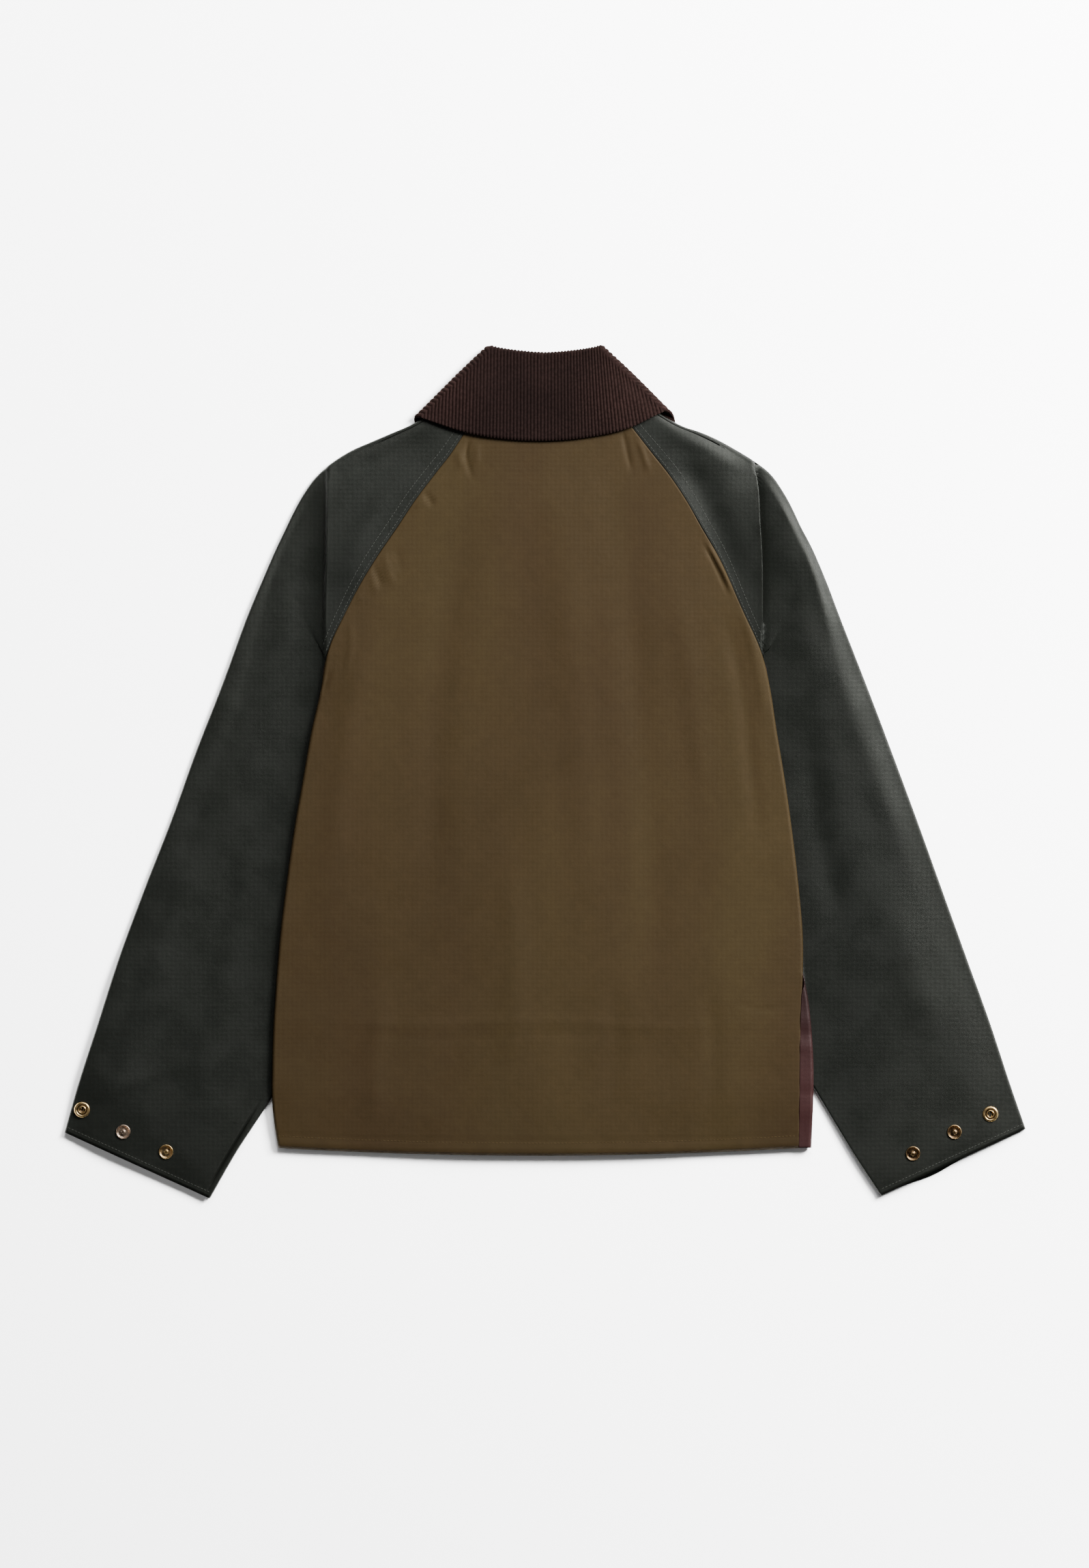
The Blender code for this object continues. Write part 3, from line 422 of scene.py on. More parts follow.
class Sheet:
    """A panel's grid: place and height of its middle surface, and distances from its edges."""

    def __init__(self, x, y, from_first, from_second):
        self.x = x
        self.y = y
        self.z = np.zeros(x.shape)
        self.from_first = from_first
        self.from_second = from_second

    def settle(self, node, from_above, passes):
        """Lays the grid on the CAD node's outer face."""
        inward = -HALF_WALL if from_above else HALF_WALL
        self.z = softened(surface_of(node, self.x, self.y, from_above), passes) + inward

    def crease(self, creases, mirror=1):
        for item in creases:
            points = [(mirror * x, y) for x, y in item.points]
            self.z += item.height * crease_profile(self.x, self.y, points, item.width)

    def roll(self, distance, change, radius, where=True):
        """Rolls an edge over: towards it the height changes, over radius millimetres."""
        inward = np.clip(distance - HALF_WALL, 0, radius) / radius
        self.z += np.where(where, change * (1 - np.sqrt(1 - (1 - inward) ** 2)), 0.0)


class RuledSheet(Sheet):
    """A sheet whose rows each run from a first edge to a second one, straight or bowed."""

    def __init__(self, first, second, columns, bow=0.0):
        width = np.linalg.norm(second - first, axis=1)[:, None]
        near = np.tile(EDGE_PLACES, (len(first), 1))
        inner = np.linspace(0, 1, columns)[1:-1]
        middle = EDGE_PLACES[-1] + inner * (width - 2 * EDGE_PLACES[-1])
        from_first = np.concatenate([near, middle, width - near[:, ::-1]], axis=1)
        self.u = from_first / width
        x = mix(first[:, :1], second[:, :1], self.u)
        y = mix(first[:, 1:], second[:, 1:], self.u) + bow * 4 * self.u * (1 - self.u)
        super().__init__(x, y, from_first, width - from_first)
        self.along = distances((first + second) / 2)[:, None]
        self.from_end = self.along[-1] - self.along

    def groove(self, stitching):
        """Presses a row of stitching into the cloth near its last row."""
        self.z -= stitching.depth * swell(self.from_end - stitching.distance, stitching.width)

    def crowd(self, line, own_side):
        """Moves the columns so that one of them runs along the line and others lie close to it."""
        known = smooth_curve(line, LINE_POINTS)[::-1]
        ends = len(EDGE_PLACES)
        middle = np.arange(self.x.shape[1] - 2 * ends + 2)
        at_line = round(CROWD_PLACE * (len(middle) - 1))
        to_line = 1 - (1 - middle[:at_line + 1] / at_line) ** CROWD_POWER
        past_line = (middle[at_line + 1:] - at_line) / (middle[-1] - at_line)
        past_line = past_line ** CROWD_POWER
        shares = []
        for x, y, u in zip(self.x, self.y, self.u):
            past = own_side * x - np.interp(y, known[:, 1], known[:, 0])
            crossed = np.nonzero(past[:-1] * past[1:] <= 0)[0]
            shares.append(u[crossed[0]] if len(crossed) else (shares[-1] if shares else 0.0))
        for i, knot in enumerate(np.clip(shares, *CROWD_LIMITS)):
            first, last = self.u[i, ends - 1], self.u[i, -ends]
            before = first + (knot - first) * to_line
            after = knot + (last - knot) * past_line
            u = np.concatenate([self.u[i, :ends - 1], before, after, self.u[i, 1 - ends:]])
            for grid in (self.x, self.y, self.z, self.from_first, self.from_second):
                grid[i] = np.interp(u, self.u[i], grid[i])
            self.u[i] = u

    def pleat(self, table, own_side):
        """The cloth rises to the pleat's crest, turns under at its line and levels out further on."""
        rows = smooth_curve(table, LINE_POINTS)[::-1]
        here = Pleat(*(np.interp(self.y, rows[:, 1], column) for column in rows.T))
        lean = np.interp(self.y, rows[:, 1], np.gradient(rows[:, 0], rows[:, 1]))
        slant = np.hypot(1.0, lean)
        out = (own_side * self.x - here.x) / slant
        section = smooth_curve(PLEAT_SECTION, SECTION_POINTS)
        along = np.clip(out / PLEAT_TURN, 0.0, 1.0)
        across = np.interp(along, section[:, 0], section[:, 1])
        fallen = np.interp(along, section[:, 0], section[:, 2])
        short = np.minimum(out, 0.0)
        before = here.crest * mix(np.exp(short / here.inner), np.exp(short / SLOW_REACH), SLOW_SHARE)
        moved = np.where((out > 0) & (out < PLEAT_TURN), across - out, 0.0)
        moved = moved * share((here.crest - here.foot) / FULL_PLEAT)
        beyond = mix(here.far, here.foot, np.exp(-np.maximum(out + moved, 0.0) / here.outer))
        beyond = beyond * share(self.from_first / np.interp(self.y, EASE_Y, EASE_WIDTH))
        self.z += np.where(out < 0, before, mix(beyond, here.crest, fallen))
        self.x += own_side * moved / slant
        self.y -= moved * lean / slant

    def rest_on(self, level):
        """Keeps the cloth above the level of the piece that lies under it."""
        above = np.logaddexp(0.0, (self.z - level) / REST_SOFTNESS)
        self.z = level + REST_SOFTNESS * above


def crease_profile(x, y, points, width):
    """1 on the line, and mostly faded at the width from it and at both of its ends."""
    known = np.array(points, float)
    smooth = smooth_curve(known, 4 * len(known)) if len(known) > 2 else known
    before = distances(smooth)
    lengths = np.diff(before)
    nearest = np.full(x.shape, np.inf)
    place = np.zeros(x.shape)
    for k, (start, end) in enumerate(zip(smooth, smooth[1:])):
        run = end - start
        t = np.clip(((x - start[0]) * run[0] + (y - start[1]) * run[1]) / lengths[k] ** 2, 0, 1)
        away = np.hypot(x - start[0] - t * run[0], y - start[1] - t * run[1])
        closer = away < nearest
        nearest = np.where(closer, away, nearest)
        place = np.where(closer, (before[k] + t * lengths[k]) / before[-1], place)
    ends = share(place / CREASE_FADE) * share((1 - place) / CREASE_FADE)
    return swell(nearest, CREASE_SPREAD * width) * mix(CREASE_END, 1.0, ends)


def wander(x, y, seed, scale, height):
    """Low, uneven swells that no two stretches of cloth share."""
    random = np.random.default_rng(seed)
    total = np.zeros(x.shape)
    for _ in range(WANDER_WAVES):
        angle, phase = random.uniform(0, math.pi), random.uniform(0, 2 * math.pi)
        wave = random.uniform(0.6, 1.8) / scale
        total += np.sin((x * math.cos(angle) + y * math.sin(angle)) * 2 * math.pi * wave + phase)
    return height * total / WANDER_WAVES


# ------------ pieces


def add_object(name, data):
    obj = bpy.data.objects.new(name, data)
    bpy.context.scene.collection.objects.link(obj)
    return obj


def mesh_from(name, bm):
    mesh = bpy.data.meshes.new(name)
    bm.to_mesh(mesh)
    bm.free()
    return mesh


def add_piece(name, mesh, material):
    """A smooth piece of the jacket that rides on its body."""
    mesh.materials.append(material)
    mesh.shade_smooth()
    obj = add_object(name, mesh)
    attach(obj, BODY)
    return obj


def add_wall(obj, wall, offset):
    """Thickens a shell: evenly about it with offset 0, or on its outer side with offset 1."""
    solidify = obj.modifiers.new("wall", "SOLIDIFY")
    solidify.thickness = wall * MM
    solidify.offset = offset
    return solidify


def grid_piece(name, x, y, z, wall, material, face_up=True):
    """A grid of points in millimetres as a shell with a wall, whose outer side faces up or down."""
    rows, columns = x.shape
    points = np.stack([x, y, z], axis=-1).reshape(-1, 3) * MM
    index = np.arange(rows * columns).reshape(rows, columns)
    corners = (index[:-1, :-1], index[:-1, 1:], index[1:, 1:], index[1:, :-1])
    quads = np.stack(corners, axis=-1).reshape(-1, 4)
    a, b, c = (points[quads[:, k]] for k in (0, 1, 2))
    upward = np.cross(b - a, c - a)[:, 2].sum() > 0
    if upward != face_up:
        quads = quads[:, ::-1]
    mesh = bpy.data.meshes.new(name)
    mesh.from_pydata(points.tolist(), [], quads.tolist())
    obj = add_piece(name, mesh, material)
    add_wall(obj, wall, 0)
    return obj


def sheet_piece(name, sheet, material, face_up=True):
    return grid_piece(name, sheet.x, sheet.y, sheet.z, CLOTH_WALL, material, face_up)


def dress(node):
    """Hides the CAD part that a shell stands in for."""
    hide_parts(node)


def ring(bm, centre, across, up, count):
    """count points round an ellipse about the centre, whose half axes are across and up."""
    angles = [2 * math.pi * k / count for k in range(count)]
    places = [centre + across * math.cos(angle) + up * math.sin(angle) for angle in angles]
    return [bm.verts.new(place * MM) for place in places]


def join_rings(bm, first, second, slot=0):
    """Faces between two rings of points, either of which may be a single point."""
    count = max(len(first), len(second))
    for k in range(count):
        j = (k + 1) % count
        if len(second) == 1:
            face = bm.faces.new((first[k], first[j], second[0]))
        elif len(first) == 1:
            face = bm.faces.new((first[0], second[j], second[k]))
        else:
            face = bm.faces.new((first[k], first[j], second[j], second[k]))
        face.material_index = slot


def close_tube(bm, rings):
    for first, second in zip(rings, rings[1:]):
        join_rings(bm, first, second)
    bm.faces.new(rings[0][::-1])
    bm.faces.new(rings[-1])


# ------------ materials


class Shader:
    """A Principled material under construction."""

    def __init__(self, name, roughness, **values):
        self.material = bpy.data.materials.new(name)
        self.material.use_nodes = True
        self.tree = self.material.node_tree
        self.shader = self.tree.nodes["Principled BSDF"]
        for key, value in {"Roughness": roughness, **values}.items():
            self.shader.inputs[key.replace("_", " ")].default_value = value
        self.coordinates = self.node("ShaderNodeTexCoord").outputs["Object"]

    def fill(self, socket, value):
        """Links an output to the socket, or gives it a plain value."""
        if hasattr(value, "is_output"):
            self.tree.links.new(value, socket)
        else:
            socket.default_value = value

    def node(self, kind, **inputs):
        node = self.tree.nodes.new(kind)
        for key, value in inputs.items():
            self.fill(node.inputs[key.replace("_", " ")], value)
        return node

    def calculate(self, operation, *values):
        node = self.tree.nodes.new("ShaderNodeMath")
        node.operation = operation
        for socket, value in zip(node.inputs, values):
            self.fill(socket, value)
        return node.outputs["Value"]

    def axis(self, name):
        return self.node("ShaderNodeSeparateXYZ", Vector=self.coordinates).outputs[name]

    def noise(self, scale, detail, stretch=(1, 1, 1), roughness=0.5):
        mapping = self.node("ShaderNodeMapping", Vector=self.coordinates, Scale=stretch)
        vector = mapping.outputs["Vector"]
        sizes = {"Scale": scale, "Detail": detail, "Roughness": roughness}
        return self.node("ShaderNodeTexNoise", Vector=vector, **sizes).outputs["Fac"]

    def ramp(self, factor, low, high, start=0.35, end=0.65):
        """A colour or grey that runs from low to high as the factor goes from start to end."""
        node = self.node("ShaderNodeValToRGB", Fac=factor)
        node.color_ramp.interpolation = "EASE"
        for element, place, value in zip(node.color_ramp.elements, (start, end), (low, high)):
            element.position = place
            element.color = (*value, 1.0) if hasattr(value, "__len__") else (value, value, value, 1.0)
        return node.outputs["Color"]

    def multiply(self, first, second):
        node = self.tree.nodes.new("ShaderNodeMix")
        node.data_type = "RGBA"
        node.blend_type = "MULTIPLY"
        node.inputs["Factor"].default_value = 1.0
        self.tree.links.new(first, node.inputs["A"])
        self.tree.links.new(second, node.inputs["B"])
        return node.outputs["Result"]

    def add(self, first, second, weight):
        """first and second times its weight, in one height."""
        return self.calculate("MULTIPLY_ADD", second, weight, first)

    def bump(self, height, distance):
        node = self.node("ShaderNodeBump", Height=height, Distance=distance, Strength=1.0)
        self.fill(self.shader.inputs["Normal"], node.outputs["Normal"])

    def colour(self, output):
        self.fill(self.shader.inputs["Base Color"], output)

    def gloss(self, output):
        self.fill(self.shader.inputs["Roughness"], output)


THREAD_PITCH = 0.75
# A wave texture of scale 1 turns through this many radians over one unit.
WAVE_TURNS = 20
# How far below the origin, in metres, the wrap's painted shade starts and stops fading: its colour
# is painted darker near the side seam and reaches its full value towards the hem.
WRAP_SHADE_START = 0.19
WRAP_SHADE_END = 0.30
# Painted shade on the collar: its colour is darkest round this x, and pales between these distances
# from it, in metres, so that its sides look lit.
COLLAR_SHADE_X = -0.012
COLLAR_SHADE_FADES = (0.03, 0.1)


def weave(shader, pitch):
    """Height of a plain weave: crossed threads a pitch apart."""
    scale = 2 * math.pi / (WAVE_TURNS * pitch * MM)
    bands = []
    for direction in ("X", "Y"):
        wave = shader.node("ShaderNodeTexWave", Vector=shader.coordinates, Scale=scale, Distortion=0.6)
        wave.bands_direction = direction
        bands.append(wave.outputs["Fac"])
    return shader.add(bands[0], bands[1], 1.0)


def waxed_cotton(name, dark, light, roughness, specular, streak, tint, painted_shade_above_hem=False):
    """Waxed cotton: a colour with soft bands along the cloth, a low sheen and a fine plain weave.
    If asked, painted shade darkens the colour up the wrap, away from the hem.
    """
    shader = Shader(name, roughness, Specular_IOR_Level=specular, Specular_Tint=(*tint, 1.0))
    bands = shader.ramp(shader.noise(1.6, 2.0, stretch=(5, 1, 1)), dark, light, 0.2, 0.8)
    mottle = shader.noise(7.0, 6.0, stretch=(2, 1, 1), roughness=0.6)
    mottle = shader.ramp(mottle, 1 - streak, 1 + streak, 0.3, 0.7)
    scuffs = shader.ramp(shader.noise(90.0, 5.0, roughness=0.65), 0.95, 1.05, 0.3, 0.75)
    shade = shader.multiply(shader.multiply(bands, mottle), scuffs)
    # Painted shade: the colour is darker up the wrap, towards the side seam, and full towards the hem.
    if painted_shade_above_hem:
        down = shader.calculate("MULTIPLY", shader.axis("Y"), -1.0)
        shade = shader.multiply(shade, shader.ramp(down, 0.35, 1.0, WRAP_SHADE_START, WRAP_SHADE_END))
    shader.colour(shade)
    shader.gloss(shader.ramp(shader.noise(30.0, 4.0), roughness - 0.04, roughness + 0.07))
    height = shader.add(weave(shader, THREAD_PITCH), shader.noise(240.0, 4.0), 2.0)
    height = shader.add(height, shader.noise(34.0, 5.0, roughness=0.6), 5.2)
    shader.bump(height, 0.00005)
    return shader.material


def corduroy(name):
    """Cut pile, slightly dusty, with worn patches, and painted shade that darkens its middle."""
    dust = {"Sheen_Weight": 0.28, "Sheen_Roughness": 0.4, "Sheen_Tint": (0.8, 0.5, 0.42, 1.0)}
    shader = Shader(name, 0.9, Specular_IOR_Level=0.12, **dust)
    pile = shader.noise(420.0, 4.0, roughness=0.7)
    pile = shader.ramp(pile, (0.0144, 0.0066, 0.0054), (0.027, 0.0132, 0.0114))
    worn = shader.ramp(shader.noise(16.0, 4.0), 0.85, 1.15)
    # Painted shade: the colour is darker round the collar's middle and paler towards its sides.
    aside = shader.calculate("ADD", shader.axis("X"), -COLLAR_SHADE_X)
    sides = shader.ramp(shader.calculate("ABSOLUTE", aside), 0.64, 1.15, *COLLAR_SHADE_FADES)
    shader.colour(shader.multiply(shader.multiply(pile, worn), sides))
    shader.bump(shader.noise(900.0, 3.0, roughness=0.7), 0.00012)
    return shader.material


def brass(name, dark, light):
    shader = Shader(name, 0.3, Metallic=1.0)
    shader.colour(shader.ramp(shader.noise(160.0, 4.0, roughness=0.6), dark, light, 0.25, 0.6))
    shader.gloss(shader.ramp(shader.noise(420.0, 4.0), 0.26, 0.4))
    shader.bump(shader.noise(700.0, 3.0), 0.00002)
    return shader.material


def thread(name, colour):
    shader = Shader(name, 0.75, Specular_IOR_Level=0.3)
    dark, light = (tuple(scale * c for c in colour) for scale in (0.8, 1.2))
    shader.colour(shader.ramp(shader.noise(900.0, 2.0), dark, light))
    return shader.material


# Dark and light colour, roughness, specular level, streaks and the tint of the highlights.
OLIVE_LOOK = ((0.0468, 0.0282, 0.012), (0.0558, 0.0372, 0.0144), 0.56, 0.2, 0.05, (1.0, 0.92, 0.76))
GREEN_LOOK = ((0.0050, 0.0062, 0.0048), (0.0070, 0.0082, 0.0062), 0.47, 0.36, 0.06, (0.98, 1.0, 0.92))
BURGUNDY_LOOK = ((0.0432, 0.0156, 0.015), (0.0612, 0.0264, 0.0258), 0.45, 0.29, 0.05, (1.0, 0.85, 0.85))
OLIVE = waxed_cotton("olive_waxed_cotton_look", *OLIVE_LOOK)
GREEN = waxed_cotton("dark_green_waxed_cotton_look", *GREEN_LOOK)
BURGUNDY = waxed_cotton("burgundy_waxed_cotton_look", *BURGUNDY_LOOK)
# This copy of the burgundy has painted shade, darker up the wrap and paler towards the hem.
BURGUNDY_WRAP_SHADED = waxed_cotton("burgundy_wrap_painted_shade_look", *BURGUNDY_LOOK, painted_shade_above_hem=True)
CORDUROY = corduroy("brown_corduroy_look")
BRASS = brass("brass_look", (0.36, 0.2352, 0.0864), (0.72, 0.504, 0.2352))
DULL_BRASS = brass("dull_brass_look", (0.165, 0.102, 0.048), (0.51, 0.345, 0.174))
DARK_BRASS = brass("dark_brass_look", (0.048, 0.028, 0.016), (0.18, 0.112, 0.056))
ROSE_BRASS = brass("rose_brass_look", (0.312, 0.221, 0.156), (0.624, 0.468, 0.351))
GREEN_THREAD = thread("green_thread_look", (0.075, 0.0792, 0.069))
OLIVE_THREAD = thread("olive_thread_look", (0.078, 0.0492, 0.0156))
BURGUNDY_THREAD = thread("burgundy_thread_look", (0.048, 0.021, 0.0198))


# ------------ sewing


STITCH_PITCH = 3.4
STITCH_LENGTH = 2.5
THREAD_THICK = 0.42
STITCH_SIDES = 6
# A stitch's rings: how far along it each is, its size, and its rise off the cloth.
STITCH_RINGS = ((0.0, 0.35, -0.12), (0.25, 0.5, 0.1), (0.75, 0.5, 0.1), (1.0, 0.35, -0.12))
STITCH_FLATNESS = 0.8


def line_at(sheet, edge, distance, lift):
    """Points at a distance from the sheet's second edge or its end, lifted off its middle."""
    lines = np.stack([sheet.x, sheet.y, sheet.z + lift], axis=-1)
    if edge == "end":
        lines = lines.transpose(1, 0, 2)
    lines = lines[:, ::-1]
    return np.array([point_at(line, distance, distances(line[:, :2])) for line in lines])


def stitch_rows(name, lines, material, seed):
    """Rows of stitches along lines of points: each stitch is a short thread that dips at its ends."""
    random = np.random.default_rng(seed)
    bm = bmesh.new()
    for line in lines:
        steps = distances(line)
        at = STITCH_PITCH
        while at < steps[-1] - STITCH_PITCH:
            start = Vector(point_at(line, at - STITCH_LENGTH / 2, steps))
            end = Vector(point_at(line, at + STITCH_LENGTH / 2, steps))
            add_stitch(bm, start, end, THREAD_THICK * random.uniform(0.88, 1.1))
            at += STITCH_PITCH * random.uniform(0.96, 1.04)
    add_piece(name, mesh_from(name, bm), material)


def add_stitch(bm, start, end, thick):
    """One stitch: a spindle, half sunk in the cloth at its ends."""
    along = (end - start).normalized()
    side = along.cross(Vector((0, 0, 1))).normalized()
    up = side.cross(along)
    rings = []
    for t, size, rise in STITCH_RINGS:
        centre, radius = start.lerp(end, t) + up * rise, size * thick
        rings.append(ring(bm, centre, side * radius, up * radius * STITCH_FLATNESS, STITCH_SIDES))
    close_tube(bm, rings)


# ------------ back


Grid = namedtuple("Grid", "rows columns")
BACK_GRID = Grid(250, 150)
SLEEVE_GRID = Grid(270, 140)
UNDER_SLEEVE_COLUMNS = 84
FRONT_GRID = Grid(150, 60)
# How many times the heights cast from the solids are smoothed.
BACK_PASSES = 50
SLEEVE_PASSES = 220
UNDER_SLEEVE_PASSES = 20
FRONT_PASSES = 3
WRAP_PASSES = 4

SIDE_ROLL = 2.2
SLEEVE_ROLL = 1.4
SEAM_DIP = 0.3
SEAM_DIP_WIDTH = 1.3
SEAM_TUCK = 0.7
TUCK_DIP = 0.9
HEM_DROP = 1.1
HEM_ROLL = 3.0

# A row of stitching along an end: its distance from it, and the depth and width of its groove.
Stitching = namedtuple("Stitching", "distance depth width")
HEM_STITCHING = Stitching(11.6, 0.35, 1.3)
CUFF_STITCHING = Stitching(5.5, 0.25, 1.0)
SEAM_STITCHING = (2.6, 9.4)
LAP_STITCHING = (5.0, 2 * LAP - 4.0)


def inset(first, second, at_first, at_second):
    """Both edges moved towards each other, each by its own distance."""
    direction = (second - first) / np.linalg.norm(second - first, axis=1)[:, None]
    return first + direction * at_first, second - direction * at_second


def make_back():
    table = smooth_curve(BACK_ROWS, BACK_GRID.rows)
    first, second = inset(table[:, :2], table[:, 2:4], -SEAM_TUCK, -SEAM_TUCK)
    sheet = RuledSheet(first, second, BACK_GRID.columns, table[:, 4:])
    sheet.settle("back", True, BACK_PASSES)
    sheet.crease(BACK_CREASES)
    sheet.z += wander(sheet.x, sheet.y, 3, 120.0, 0.35)
    on_seam = sheet.y > ARMPIT_Y
    wrapped = sheet.y < SIDE_SEAM_END_Y
    for distance in (sheet.from_first, sheet.from_second):
        sheet.roll(distance, -TUCK_DIP, SEAM_TUCK, on_seam)
    sheet.roll(sheet.from_first, -SIDE_ROLL, SIDE_ROLL, ~on_seam)
    sheet.roll(sheet.from_second, -SIDE_ROLL, SIDE_ROLL, ~(on_seam | wrapped))
    sheet.roll(sheet.from_second, -SEAM_DIP, SEAM_DIP_WIDTH, wrapped)
    sheet.groove(HEM_STITCHING)
    sheet.z -= HEM_DROP * (1 - share(sheet.from_end / HEM_ROLL))
    obj = sheet_piece("back_cloth", sheet, OLIVE)
    dress("back")
    lines = [line_at(sheet, "end", HEM_STITCHING.distance, HALF_WALL)]
    stitch_rows("back_hem_stitches", lines, OLIVE_THREAD, seed=5)


# ------------ sleeves


# The shares of a front raglan seam at which the rows of a sleeve and a front begin.
SEAM_SHARES = (0.0, 0.07, 0.14, 0.22, 0.31, 0.41, 0.52, 0.63, 0.74, 0.85, 0.93, 1.0)
# The lowest that a sleeve's upper side lies: on its underside, with a little air between.
SLEEVE_REST = 1.5 * CLOTH_WALL + 0.1
# The wandering swells fade out towards the outer fold over this width.
WANDER_FADE = 20
# The underside of the right cuff shows below its upper side: where across the sleeve, how widely,
# how far up from its end, and by how much.
GAPE_PLACE = 0.64
GAPE_WIDTH = 0.16
GAPE_LENGTH = 30
GAPE_X = 1.3
GAPE_Y = 2.8


def neck_ellipse(angle, gap=0.0):
    return np.stack([
        (NECK_HALF_WIDTH - gap) * np.cos(angle),
        NECK_CENTRE_Y - (NECK_DROP - gap) * np.sin(angle),
    ], axis=-1)


def sleeve_edges(outer, arm, seam, own_side):
    """The sleeve's outer fold, and its seam followed by its inner fold, row by row."""
    rows = [(*o, *s) for o, s in zip(outer, seam)]
    table = smooth_curve(rows + arm, SLEEVE_GRID.rows) * (own_side, 1, own_side, 1)
    return table[:, :2], table[:, 2:]


def front_seam(side_x):
    """The front raglan seam, from the neckline to the armpit, with the sleeve's row spacing."""
    top = neck_ellipse(NECK_SPLIT)
    return [(mix(top[0], side_x, t), mix(top[1], ARMPIT_Y, t)) for t in SEAM_SHARES]


def make_sleeve(side, own_side, outer, arm, creases, pleat):
    rows = BACK_ROWS[:ARMPIT_ROW + 1]
    back_seam = [(-row.x1, row.y1) if own_side < 0 else (row.x2, row.y2) for row in rows]

    first, second = inset(*sleeve_edges(outer, arm, back_seam, own_side), 0.0, SEAM_GAP)
    upper = RuledSheet(first, second, SLEEVE_GRID.columns)
    upper.settle(f"sleeve_{side}_back", True, SLEEVE_PASSES)
    upper.crowd(pleat, own_side)
    upper.crease(creases)
    upper.pleat(pleat, own_side)
    swells = wander(upper.x, upper.y, 11 + own_side, 90.0, 0.2)
    upper.z += swells * share(upper.from_first / WANDER_FADE)
    upper.rest_on(SLEEVE_REST)
    on_seam = upper.along < upper.along[np.argmax(second[:, 1] < ARMPIT_Y)]
    upper.roll(upper.from_first, -SLEEVE_ROLL, SLEEVE_ROLL)
    upper.roll(upper.from_second, -SEAM_DIP, SEAM_DIP_WIDTH, on_seam)
    upper.roll(upper.from_second, -SLEEVE_ROLL, SLEEVE_ROLL, ~on_seam)
    upper.groove(CUFF_STITCHING)
    obj = sheet_piece(f"sleeve_{side}_back_cloth", upper, GREEN)
    dress(f"sleeve_{side}_back")

    first, second = sleeve_edges(outer, arm, front_seam(back_seam[-1][0]), own_side)
    lower = RuledSheet(first, second, UNDER_SLEEVE_COLUMNS)
    lower.settle(f"sleeve_{side}_front", False, UNDER_SLEEVE_PASSES)
    lower.crease(SLEEVE_FRONT_CREASES, mirror=own_side)
    if own_side > 0:
        gape = swell(lower.u - GAPE_PLACE, GAPE_WIDTH) * share(1 - lower.from_end / GAPE_LENGTH)
        lower.x += GAPE_X * gape
        lower.y -= GAPE_Y * gape
    lower.roll(lower.from_first, SLEEVE_ROLL, SLEEVE_ROLL)
    lower.roll(lower.from_second, SEAM_DIP, SEAM_DIP_WIDTH, on_seam)
    lower.roll(lower.from_second, SLEEVE_ROLL, SLEEVE_ROLL, ~on_seam)
    obj = sheet_piece(f"sleeve_{side}_front_cloth", lower, GREEN, face_up=False)
    dress(f"sleeve_{side}_front")

    lines = [line_at(upper, "second", d, HALF_WALL)[on_seam[:, 0]] for d in SEAM_STITCHING]
    lines.append(line_at(upper, "end", CUFF_STITCHING.distance, HALF_WALL))
    stitch_rows(f"sleeve_{side}_stitches", lines, GREEN_THREAD, seed=7 + own_side)
    return upper


# ------------ fronts


LAP_COLUMNS = 12
# A straight row of a front stays about level across the lap, and this factor makes it so.
LAP_FACTOR = 1.08
# Rows are curved like the neckline at first, and straight past this share of the raglan seam.
CURVED_SHARE = 0.5
# The centre of a row sags below its side, less and less down to LEVEL_Y.
LEVEL_Y = -60
LEVEL_LENGTH = 160


def front_edge_rows(own_side):
    """(side point, centre height, how curved) of each row of a front, from the neckline down."""
    armpit = BACK_ROWS[ARMPIT_ROW]
    side_x = armpit.x2 if own_side > 0 else -armpit.x1
    rows = []
    for (x, y), t in zip(front_seam(side_x), SEAM_SHARES):
        centre = mix(NECK_CENTRE_Y - NECK_DROP, FRONT_ARMPIT_CENTRE_Y, t)
        rows.append((x, y, centre, share(1 - t / CURVED_SHARE)))
    wrap_x = {y: x for x, y in WRAP_EDGE}
    for row in BACK_ROWS[ARMPIT_ROW + 1:]:
        x = -row.x1 if own_side < 0 else wrap_x.get(row.y2, row.x2)
        slope = (FRONT_ARMPIT_CENTRE_Y - ARMPIT_Y) * share((row.y1 - LEVEL_Y) / LEVEL_LENGTH)
        rows.append((x, row.y1, row.y1 + row.bow + slope, 0.0))
    return smooth_curve(rows, FRONT_GRID.rows)


def neckline_share(t):
    """How far the neckline has dropped, from 0 at the raglan seam to 1 at the centre."""
    across = np.clip(1 - t, 0, 1) * math.cos(NECK_SPLIT)
    at_seam = math.sin(NECK_SPLIT)
    return (np.sqrt(1 - across**2) - at_seam) / (1 - at_seam)


